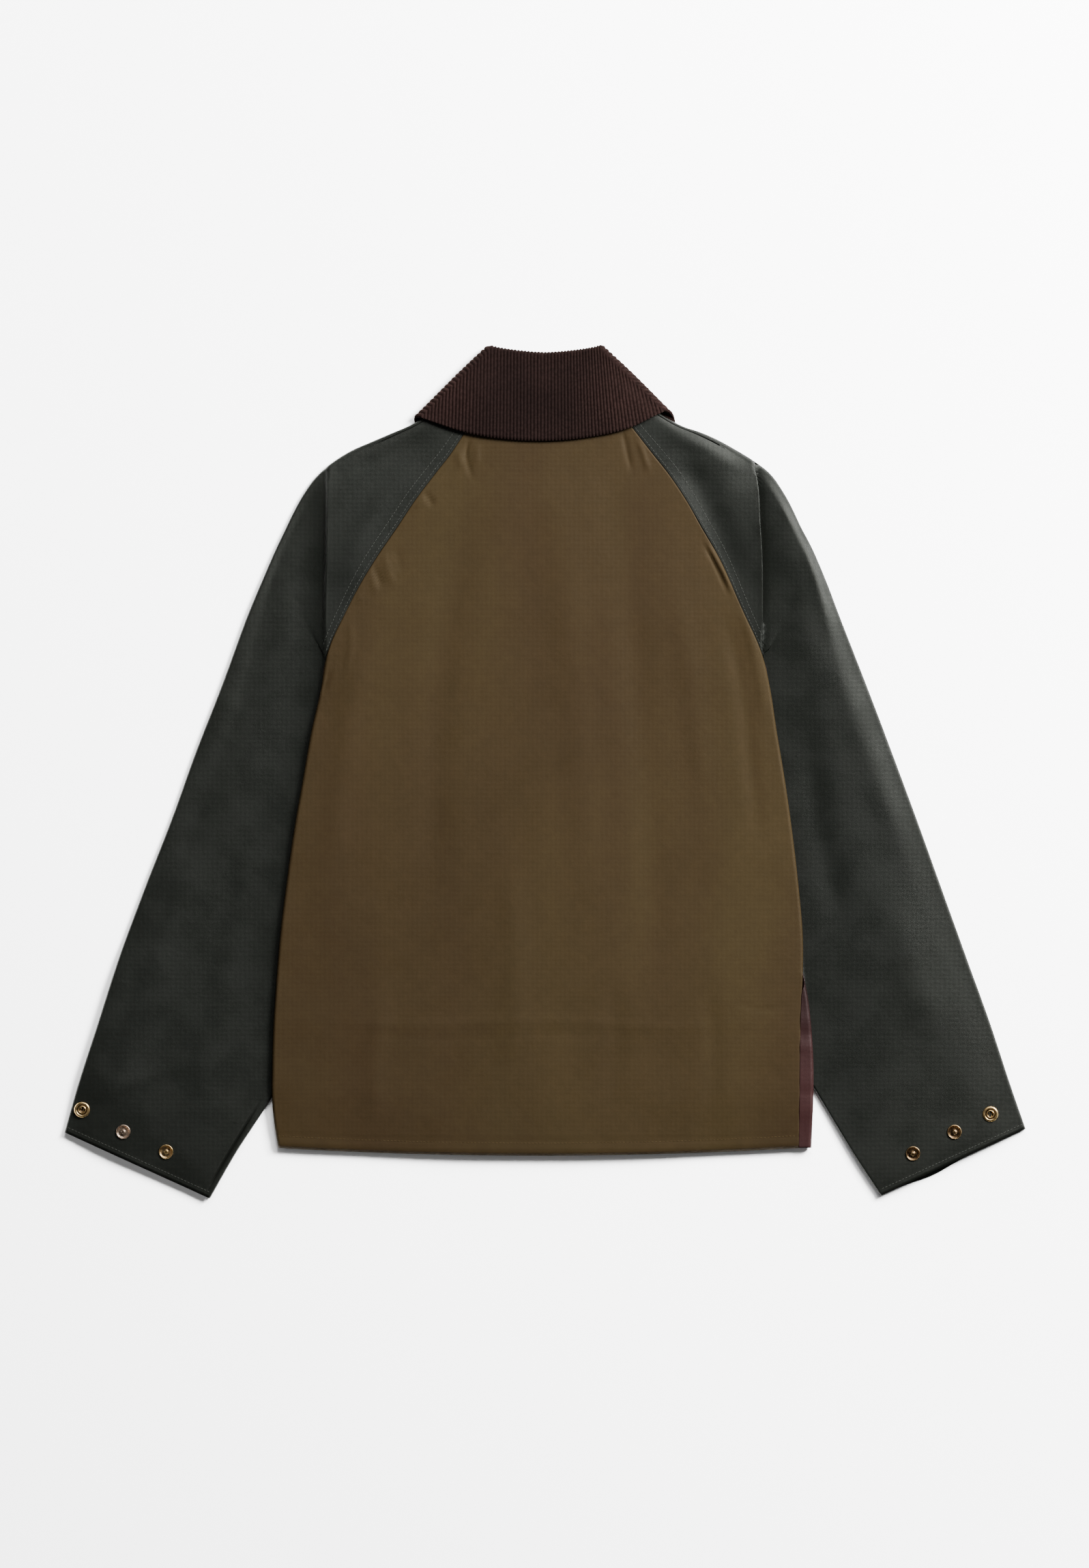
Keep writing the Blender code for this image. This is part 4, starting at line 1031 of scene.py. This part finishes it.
def make_front(side, own_side):
    side_x, side_y, centre_y, curved = np.split(front_edge_rows(own_side), 4, axis=1)
    side_x = side_x - np.where(side_y > ARMPIT_Y, SEAM_GAP, 0.0)
    lap = np.linspace(0.0, -LAP, LAP_COLUMNS + 1)[1:]
    inner = np.linspace(1, 0, FRONT_GRID.columns) * (side_x - EDGE_PLACES[-1])
    x = np.concatenate([side_x - EDGE_PLACES, inner, np.tile(lap, (len(side_x), 1))], axis=1)
    straight = np.minimum(1.0, LAP_FACTOR * (side_x - x) / (side_x + LAP))
    neckline = neckline_share(np.minimum(1.0, (side_x - x) / side_x))
    y = mix(side_y, centre_y, mix(straight, neckline, curved))
    sheet = Sheet(x * own_side, y, side_x - x, x + LAP)
    sheet.settle(f"front_{side}", False, FRONT_PASSES)
    sheet.crease(FRONT_CREASES, mirror=own_side)
    on_seam = sheet.y > ARMPIT_Y
    wrapped = (side_y < SIDE_SEAM_END_Y) & (own_side > 0)
    sheet.roll(sheet.from_first, SEAM_DIP, SEAM_DIP_WIDTH, on_seam)
    sheet.roll(sheet.from_first, SIDE_ROLL, SIDE_ROLL, ~(on_seam | wrapped))
    obj = sheet_piece(f"front_{side}_cloth", sheet, BURGUNDY, face_up=False)
    dress(f"front_{side}")
    lines = [line_at(sheet, "end", HEM_STITCHING.distance, -HALF_WALL)]
    if own_side < 0:
        lines += [line_at(sheet, "second", d, -HALF_WALL) for d in LAP_STITCHING]
    stitch_rows(f"front_{side}_stitches", lines, BURGUNDY_THREAD, seed=21 + own_side)


WRAP_ROWS = 90
WRAP_STEPS = 30
# How far inside the seam and the fold the heights of the solids are taken.
SEAM_CAST = 3.0
FOLD_CAST = 4.5
# The share of its width that the wrap has where it begins, the length over which it grows to the
# whole, and how far short of the seam it stops.
WRAP_START = 0.35
WRAP_GROWTH = 24.0
WRAP_GAP = 0.25
# The wrap's creases begin and are full at these angles, in radians, round the side fold.
CREASE_ANGLE = 1.2
FULL_CREASE_ANGLE = 2.2
Dent = namedtuple("Dent", "y height width")
WRAP_CREASES = [
    Dent(-232.0, 0.5, 6.0),
    Dent(-246.0, -0.5, 5.0),
    Dent(-258.0, 0.5, 5.0),
    Dent(-301.0, -0.6, 7.0),
    Dent(-318.0, 0.4, 8.0),
]


def cast_line(node, x, y, from_above):
    """Smoothed heights of the CAD node's upper or lower face along a line."""
    heights = surface_of(node, x[None], y[None], from_above)[0]
    return softened(heights[:, None], WRAP_PASSES)[:, 0]


def make_wrap():
    """The right front where it turns up round the side fold and on to the back's side seam."""
    edge_x, edge_y = smooth_curve(WRAP_EDGE, WRAP_ROWS).T
    seam = [(row.x2, row.y2) for row in BACK_ROWS if row.y2 <= SIDE_SEAM_END_Y]
    seam = smooth_curve(seam, LINE_POINTS)[::-1]
    seam_x = np.interp(edge_y, seam[:, 1], seam[:, 0])
    top = cast_line("back", seam_x - SEAM_CAST, edge_y, True) - HALF_WALL
    low = cast_line("front_right", edge_x - FOLD_CAST, edge_y, False) + HALF_WALL
    radius = (top - low) / 2
    start_x = edge_x - radius - HALF_WALL
    grown = mix(WRAP_START, 1.0, share((SIDE_SEAM_END_Y - edge_y) / WRAP_GROWTH))
    length = (math.pi * radius + np.maximum(start_x - seam_x - WRAP_GAP, 0.0)) * grown
    radius, start_x, low = (values[:, None] for values in (radius, start_x, low))
    along = np.linspace(0, 1, WRAP_STEPS + 1) * length[:, None]
    angle = np.minimum(along / radius, math.pi)
    x = start_x + radius * np.sin(angle) - np.maximum(along - math.pi * radius, 0.0)
    y = np.tile(edge_y[:, None], (1, WRAP_STEPS + 1))
    z = low + radius * (1 - np.cos(angle))
    on_top = share((angle - CREASE_ANGLE) / (FULL_CREASE_ANGLE - CREASE_ANGLE))
    for item in WRAP_CREASES:
        z += item.height * swell(y - item.y, item.width) * on_top
    obj = grid_piece("front_right_wrap_cloth", x, y, z, CLOTH_WALL, BURGUNDY_WRAP_SHADED)


# ------------ collar


LEAF_ROWS = 26
FOLD_STEPS = 10
FLAP_STATIONS = 26
LIP_STEPS = 4
LIP_RADIUS = 1.2
LEAF_EDGE_CURVE = smooth_curve(LEAF_EDGE, 80)
# The leaf's inner face is lower near its folds: at the roll it falls over this length from this y,
# and at each side over this width.
LEAF_FALL_Y = 354
LEAF_FALL_LENGTH = 30
LEAF_FALL_WIDTH = 14
# The swell off each shoulder: its height, place across and width, and where it starts and ends.
SWELL_HEIGHT = 1.8
SWELL_X = 66
SWELL_WIDTH = 24
SWELL_Y = (312, 396)
RIB_ROUNDNESS = 0.8
# How far up the fold the flap starts, the leaf's wall, and the level of the flap's face.
FLAP_START = 2
FLAP_WALL = FLAP_TOP - 0.1
FLAP_FACE = FLAP_TOP - 0.02


def fold_frame():
    """Direction up the right fold line, the way out from it, and the start and end of the line
    where the leaf's inner face begins to turn over."""
    turn = (FOLD_TOP - FLAP_TOP) / 2 + FLAP_TOP
    side, corner = np.array(COLLAR_SIDE), np.array(COLLAR_CORNER)
    along = (corner - side) / math.dist(corner, side)
    outward = np.array([along[1], -along[0]])
    return along, outward, side - turn * outward, corner - turn * outward


ALONG, OUTWARD, FOLD_FOOT, FOLD_HEAD = fold_frame()


def roll_height(x):
    return ROLL_Y - ROLL_DIP * (1 - (abs(x) / FOLD_HEAD[0]) ** 1.5)


def leaf_top(x):
    if abs(x) > FOLD_HEAD[0]:
        return FOLD_FOOT[1] + (abs(x) - FOLD_FOOT[0]) * ALONG[1] / ALONG[0]
    return roll_height(x) - (ROLL_Y - FOLD_HEAD[1])


def leaf_edge(x):
    return np.interp(x, LEAF_EDGE_CURVE[:, 0], LEAF_EDGE_CURVE[:, 1])


def wale_top(x, lean):
    """Where a wale that starts at x on the leaf's lower edge meets its outline."""
    edge = leaf_edge(x)
    low, high = edge, ROLL_Y + 20
    for _ in range(30):
        middle = (low + high) / 2
        if middle < leaf_top(x + lean * (middle - edge)):
            low = middle
        else:
            high = middle
    return x + lean * (low - edge), low


def leaf_height(x, y):
    """The leaf's inner face over the back. It swells a little off the shoulders."""
    inside = np.dot(FOLD_FOOT - (abs(x), y), OUTWARD)
    free = mix(EDGE_TOP, FOLD_TOP, share((y - LEAF_FALL_Y) / LEAF_FALL_LENGTH))
    level = mix(FOLD_TOP, free, share(inside / LEAF_FALL_WIDTH))
    up = np.clip((y - SWELL_Y[0]) / (SWELL_Y[1] - SWELL_Y[0]), 0.0, 1.0)
    return level + SWELL_HEIGHT * swell(abs(x) - SWELL_X, SWELL_WIDTH) * math.sin(math.pi * up)


def rib(i):
    """Height of the pile over the backing: round on a wale, a cleft between wales."""
    phase = (i % POINTS_PER_WALE) / POINTS_PER_WALE
    return math.sin(math.pi * phase) ** RIB_ROUNDNESS


class Leaf:
    """The leaf's mesh under construction. Each point's weight is the share of the wall it keeps."""

    def __init__(self):
        self.bm = bmesh.new()
        self.ribs = self.bm.verts.layers.deform.verify()

    def point(self, x, y, z, weight):
        vert = self.bm.verts.new((x * MM, y * MM, z * MM))
        vert[self.ribs][0] = weight
        return vert

    def join(self, first, second):
        """Faces between two lines of points, as far as the shorter one goes."""
        for a, b, c, d in zip(first, second, second[1:], first[1:]):
            self.bm.faces.new((a, b, c, d))

    def wale_line(self, i, columns):
        """A line of points up a wale, and over the roll where the leaf has one."""
        left_end, right_end = LEAF_EDGE[0][0], LEAF_EDGE[-1][0]
        base_x = mix(left_end, right_end, i / columns)
        base_y = leaf_edge(base_x)
        full_lean = LEFT_LEAN if base_x < 0 else -RIGHT_LEAN
        top_x, top_y = wale_top(base_x, math.tan(full_lean * (base_x / right_end) ** 2))
        weight = mix(1 - WALE_HEIGHT / LEAF_WALL, 1.0, rib(i))
        line = []
        for row in range(LEAF_ROWS + 1):
            t = row / LEAF_ROWS
            x, y = mix(base_x, top_x, t), mix(base_y, top_y, t)
            line.append(self.point(x, y, leaf_height(x, y), weight))
        top = (top_x, top_y, line[-1], weight)
        if abs(top_x) < FOLD_HEAD[0] - 1e-6:
            z = line[-1].co.z / MM
            lip = mix(LIP_RADIUS, 2 * LIP_RADIUS, (top_x / FOLD_HEAD[0]) ** 8)
            for k in range(1, LIP_STEPS + 1):
                turn = math.pi * k / FOLD_STEPS
                drop = lip * (1 - math.cos(turn))
                line.append(self.point(top_x, top_y + lip * math.sin(turn), z - drop, weight))
        return line, top

    def flap_line(self, top, w, own_side):
        """A line of points round the fold and under the front. w runs up the fold from 0 to 1."""
        x, y, edge, weight = top
        start = FOLD_FOOT + FLAP_START * ALONG
        turned = mix(start, FOLD_HEAD, w)
        radius = (edge.co.z / MM - FLAP_TOP) / 2
        line = [edge]
        for k in range(1, FOLD_STEPS + 1):
            t = k / FOLD_STEPS
            out = radius * math.sin(math.pi * t) * OUTWARD
            z = FLAP_TOP + radius * (1 + math.cos(math.pi * t))
            place = mix(x, turned[0] * own_side, t) + own_side * out[0], mix(y, turned[1], t) + out[1]
            line.append(self.point(*place, z, weight))
        for k in range(1, FLAP_STATIONS + 1):
            p = k / FLAP_STATIONS
            place = mix(mix(start, COLLAR_POINT, p), mix(FOLD_HEAD, ROLL_END, p), w)
            line.append(self.point(own_side * place[0], place[1], FLAP_FACE, weight))
        return line


def make_leaf():
    """The leaf: ribbed over the back, folded round both shoulders and ribbed under the fronts."""
    leaf = Leaf()
    columns = POINTS_PER_WALE * round((LEAF_EDGE[-1][0] - LEAF_EDGE[0][0]) / WALE_PITCH)
    wales, tops = zip(*(leaf.wale_line(i, columns) for i in range(columns + 1)))
    for left, right in zip(wales, wales[1:]):
        leaf.join(right, left)
    rolled = [line for line in wales if len(line) > LEAF_ROWS + 1]
    for own_side, corner in ((-1, rolled[0]), (1, rolled[-1])):
        at_fold = [top for top in tops if top[0] * own_side > FOLD_HEAD[0] - 1e-6]
        at_fold.sort(key=lambda top: top[1])
        shares = np.linspace(0, 1, len(at_fold))
        lines = [leaf.flap_line(top, w, own_side) for top, w in zip(at_fold, shares)]
        for lower, upper in zip(lines, lines[1:]):
            leaf.join(lower, upper)
        leaf.join(lines[-1][:LIP_STEPS + 1], corner[LEAF_ROWS:])

    bmesh.ops.recalc_face_normals(leaf.bm, faces=leaf.bm.faces)
    highest = max(leaf.bm.faces, key=lambda face: face.calc_center_median().z)
    if highest.normal.z < 0:
        bmesh.ops.reverse_faces(leaf.bm, faces=leaf.bm.faces)
    obj = add_piece("collar_leaf_cloth", mesh_from("collar_leaf_cloth", leaf.bm), CORDUROY)
    obj.vertex_groups.new(name="ribs")
    add_wall(obj, FLAP_WALL, 1).vertex_group = "ribs"
    dress("collar_leaf")


# The stand's rows and the columns of its half under a front, round the fold, and over the back.
STAND_ROWS = 10
STAND_COLUMNS = 24
STAND_TURN_STEPS = 8
# Where the stand's fold starts, and how far inside the leaf's fold the stand lies. It follows the
# front neckline between two angles, with a gap. Over the back its lower edge rises to the sides, and
# its upper edge stays below the roll.
STAND_FOOT = (67.0, 358.1)
STAND_INSET = 1.6
STAND_NECK = (0.03, math.radians(83.0))
STAND_NECK_GAP = 1.2
STAND_SEAM_Y = 346.6
STAND_SEAM_RISE = 11.5
STAND_BELOW_ROLL = 3.6


def make_stand():
    """The stand: a band from the neck seam to the roll, inside the leaf, round to both fronts."""
    foot, head = np.array(STAND_FOOT), FOLD_HEAD - STAND_INSET
    radius = (STAND_BACK_Z - STAND_FRONT_Z) / 2
    half = []
    for k in range(STAND_COLUMNS, 0, -1):
        p = k / STAND_COLUMNS
        low = neck_ellipse(mix(*STAND_NECK, p), STAND_NECK_GAP)
        half.append((*low, *mix(head, ROLL_END, p), STAND_FRONT_Z))
    for k in range(STAND_TURN_STEPS + 1):
        turn = math.pi * k / STAND_TURN_STEPS
        out = np.array([radius * math.sin(turn), 0.0])
        half.append((*(foot + out), *(head + out), STAND_FRONT_Z + radius * (1 - math.cos(turn))))
    for k in range(1, STAND_COLUMNS + 1):
        t = 1 - k / STAND_COLUMNS
        low_y = STAND_SEAM_Y + STAND_SEAM_RISE * t**2
        top_x = head[0] * t
        half.append((foot[0] * t, low_y, top_x, roll_height(top_x) - STAND_BELOW_ROLL, STAND_BACK_Z))
    half = np.array(half)
    strip = np.concatenate([half * (-1, 1, -1, 1, 1), half[:-1][::-1]])
    t = np.linspace(0, 1, STAND_ROWS)[:, None]
    x = mix(strip[:, 0], strip[:, 2], t)
    y = mix(strip[:, 1], strip[:, 3], t)
    z = np.tile(strip[:, 4], (STAND_ROWS, 1))
    obj = grid_piece("collar_stand_cloth", x, y, z, STAND_WALL, CORDUROY)
    dress("collar_stand")


# ------------ snaps


RING_STEPS = 48


def lathe(bm, profile, centre, tilt=(0.0, 0.0), dull=()):
    """Turns a profile of (radius, height) points about a vertical line through the centre. The rings
    of faces in dull take the second material."""
    rings = []
    for radius, height in profile:
        middle = np.array(centre) + np.array((*tilt, 1.0)) * height
        across, up = np.array((radius, 0.0, 0.0)), np.array((0.0, radius, 0.0))
        rings.append(ring(bm, middle, across, up, RING_STEPS if radius > 0 else 1))
    for i, (first, second) in enumerate(zip(rings, rings[1:])):
        join_rings(bm, first, second, 1 if i in dull else 0)


Snap = namedtuple("Snap", "node stud metal dish tilt")
CUFF_SNAPS = [
    Snap("cuff_left_socket", False, BRASS, DARK_BRASS, (0.0, 0.0)),
    Snap("cuff_left_stud_1", True, ROSE_BRASS, ROSE_BRASS, (0.05, 0.0)),
    Snap("cuff_left_stud_2", True, BRASS, DULL_BRASS, (0.08, 0.0)),
    Snap("cuff_right_stud_2", True, DULL_BRASS, DARK_BRASS, (-0.14, -0.06)),
    Snap("cuff_right_stud_1", True, DULL_BRASS, DARK_BRASS, (0.06, -0.04)),
    Snap("cuff_right_socket", False, BRASS, DARK_BRASS, (0.0, 0.0)),
]
SOCKET = [
    (7.5, -0.9), (7.5, 0.3), (7.2, 0.95), (6.6, 1.45), (5.9, 1.65), (5.2, 1.5), (4.8, 1.1), (4.5, 0.5),
    (4.1, 0.5), (3.9, 1.1), (3.5, 1.6), (3.1, 1.7), (2.8, 1.5), (2.6, 1.1), (2.5, 0.4), (2.4, -0.2),
    (0.0, -0.2),
]
SOCKET_DULL = (6, 7, 8, 13, 14, 15)
STUD = [
    (6.8, -0.9), (6.8, 0.6), (6.6, 1.05), (6.2, 1.25), (5.8, 1.1), (5.3, 0.6), (4.4, 0.25), (3.2, 0.15),
    (2.2, 0.2), (1.75, 0.5), (1.55, 1.1), (1.6, 1.7), (1.95, 2.2), (2.05, 2.6), (1.85, 3.0), (1.3, 3.25),
    (0.6, 3.35), (0.0, 3.37),
]
STUD_DULL = (4, 5, 6, 7, 8, 9)
CAP = [
    (0.0, 0.0), (2.5, 0.0), (4.6, 0.02), (4.8, 0.14), (5.0, 0.02), (6.6, 0.06), (7.2, 0.28), (7.5, 0.7),
    (7.5, 1.1), (6.9, 1.2),
]
# How high a snap stands off the cloth, and the socket's spring wires.
SNAP_LIFT = 0.1
SPRING_OFFSET = 1.3
SPRING_LIFT = 0.45
SPRING_RADIUS = 0.32
SPRING_SIDES = 8


def snap_place(node):
    """Where the middle of a CAD snap is across the frame, in millimetres."""
    low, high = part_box(node)
    return (low.x + high.x) / 2 / MM, (low.y + high.y) / 2 / MM


def metal_piece(node, bm, *materials):
    bmesh.ops.recalc_face_normals(bm, faces=bm.faces)
    obj = add_piece(f"{node}_metal", mesh_from(f"{node}_metal", bm), materials[0])
    for material in materials[1:]:
        obj.data.materials.append(material)
    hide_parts(node)


def make_snaps():
    for snap in CUFF_SNAPS:
        x, y = snap_place(snap.node)
        sheet = SLEEVES["left" if x < 0 else "right"]
        nearest = np.argmin(np.hypot(sheet.x - x, sheet.y - y))
        centre = (x, y, sheet.z.flat[nearest] + HALF_WALL + SNAP_LIFT)
        bm = bmesh.new()
        if snap.stud:
            lathe(bm, STUD, centre, snap.tilt, dull=STUD_DULL)
        else:
            lathe(bm, SOCKET, centre, dull=SOCKET_DULL)
            add_spring(bm, *centre)
        metal_piece(snap.node, bm, snap.metal, snap.dish)


def add_spring(bm, x, y, z):
    """The socket's two spring wires, across its hole."""
    for offset in (-SPRING_OFFSET, SPRING_OFFSET):
        rings = []
        for t in np.linspace(-0.95, 0.95, 9):
            point = Vector((x + offset + 0.5 * math.sin(3 * t), y + 2.5 * t, z + SPRING_LIFT))
            across, up = Vector((SPRING_RADIUS, 0, 0)), Vector((0, 0, SPRING_RADIUS))
            rings.append(ring(bm, point, across, up, SPRING_SIDES))
        close_tube(bm, rings)


def make_caps():
    for k in range(5):
        node = f"front_snap_{k + 1}"
        bm = bmesh.new()
        lathe(bm, CAP, (*snap_place(node), 0.0))
        metal_piece(node, bm, BRASS)


# ------------ stage


PHOTO_WIDTH, PHOTO_HEIGHT = 1596, 2299
MM_PER_PIXEL = 0.64
LENS = 180.0
SENSOR = 36.0
# The pixel of the photo that is the frame's origin, and the middle of the photo in millimetres.
ORIGIN_PIXEL = (799, 1132)
FRAME_CENTRE = (
    (PHOTO_WIDTH / 2 - ORIGIN_PIXEL[0]) * MM_PER_PIXEL,
    (ORIGIN_PIXEL[1] - PHOTO_HEIGHT / 2) * MM_PER_PIXEL,
)


def make_camera():
    camera = bpy.data.cameras.new("camera")
    camera.lens = LENS
    camera.sensor_width = SENSOR
    camera.clip_end = 100.0
    obj = add_object("camera", camera)
    distance = PHOTO_HEIGHT * MM_PER_PIXEL * MM * LENS / SENSOR
    obj.location = (FRAME_CENTRE[0] * MM, FRAME_CENTRE[1] * MM, distance)
    bpy.context.scene.camera = obj


# The soft lights, with the power that reaches the ground. The jacket gets a sixth of it.
GROUND_LIGHT = 6.0
WORLD_LIGHT = 0.25
Light = namedtuple("Light", "name place size power")
LIGHTS = [
    Light("key", (2.7, 2.0, 2.3), 1.5, 2120.0),
    Light("left", (-3.4, 0.3, 2.6), 2.6, 50.0),
    Light("top", (0.4, 3.6, 2.6), 2.4, 650.0),
    Light("bottom", (-0.2, -3.6, 2.8), 2.6, 20.0),
]
FLOOR_HALF = 12.0
FLOOR_Z = -0.0004


def area_light(name, light, part, receivers=None):
    """A square light with part of the power. It lights everything, or only what receivers holds."""
    data = bpy.data.lights.new(name, "AREA")
    data.energy = light.power * part
    data.size = light.size
    obj = add_object(name, data)
    obj.location = light.place
    obj.rotation_euler = (-Vector(light.place)).to_track_quat("-Z", "Y").to_euler()
    if receivers:
        obj.light_linking.receiver_collection = receivers


def make_floor():
    bm = bmesh.new()
    bmesh.ops.create_grid(bm, x_segments=1, y_segments=1, size=FLOOR_HALF)
    floor = add_object("floor", mesh_from("floor", bm))
    floor.location.z = FLOOR_Z
    shader = Shader("floor_look", 0.9)
    shader.colour(shader.ramp(shader.noise(0.6, 2.0), 0.86, 0.88))
    floor.data.materials.append(shader.material)
    return floor


def make_lights(floor):
    """The ground of a cut-out is far brighter than what lies on it, so the floor has most of the
    light to itself, and doesn't spill it onto the cloth."""
    floor.visible_diffuse = False
    ground = bpy.data.collections.new("ground")
    ground.objects.link(floor)
    world = bpy.data.worlds.new("studio")
    world.use_nodes = True
    background = world.node_tree.nodes["Background"]
    background.inputs["Color"].default_value = (1.0, 1.0, 1.0, 1.0)
    background.inputs["Strength"].default_value = WORLD_LIGHT / GROUND_LIGHT
    bpy.context.scene.world = world
    for light in LIGHTS:
        area_light(light.name, light, 1 / GROUND_LIGHT)
        area_light(f"{light.name}_ground", light, 1 - 1 / GROUND_LIGHT, ground)


make_back()
SLEEVES = {
    "left": make_sleeve("left", -1, LEFT_OUTER, LEFT_ARM, LEFT_SLEEVE_CREASES, LEFT_PLEAT),
    "right": make_sleeve("right", 1, RIGHT_OUTER, RIGHT_ARM, RIGHT_SLEEVE_CREASES, RIGHT_PLEAT),
}
make_front("left", -1)
make_front("right", 1)
make_wrap()
make_leaf()
make_stand()
make_snaps()
make_caps()
make_camera()
make_lights(make_floor())
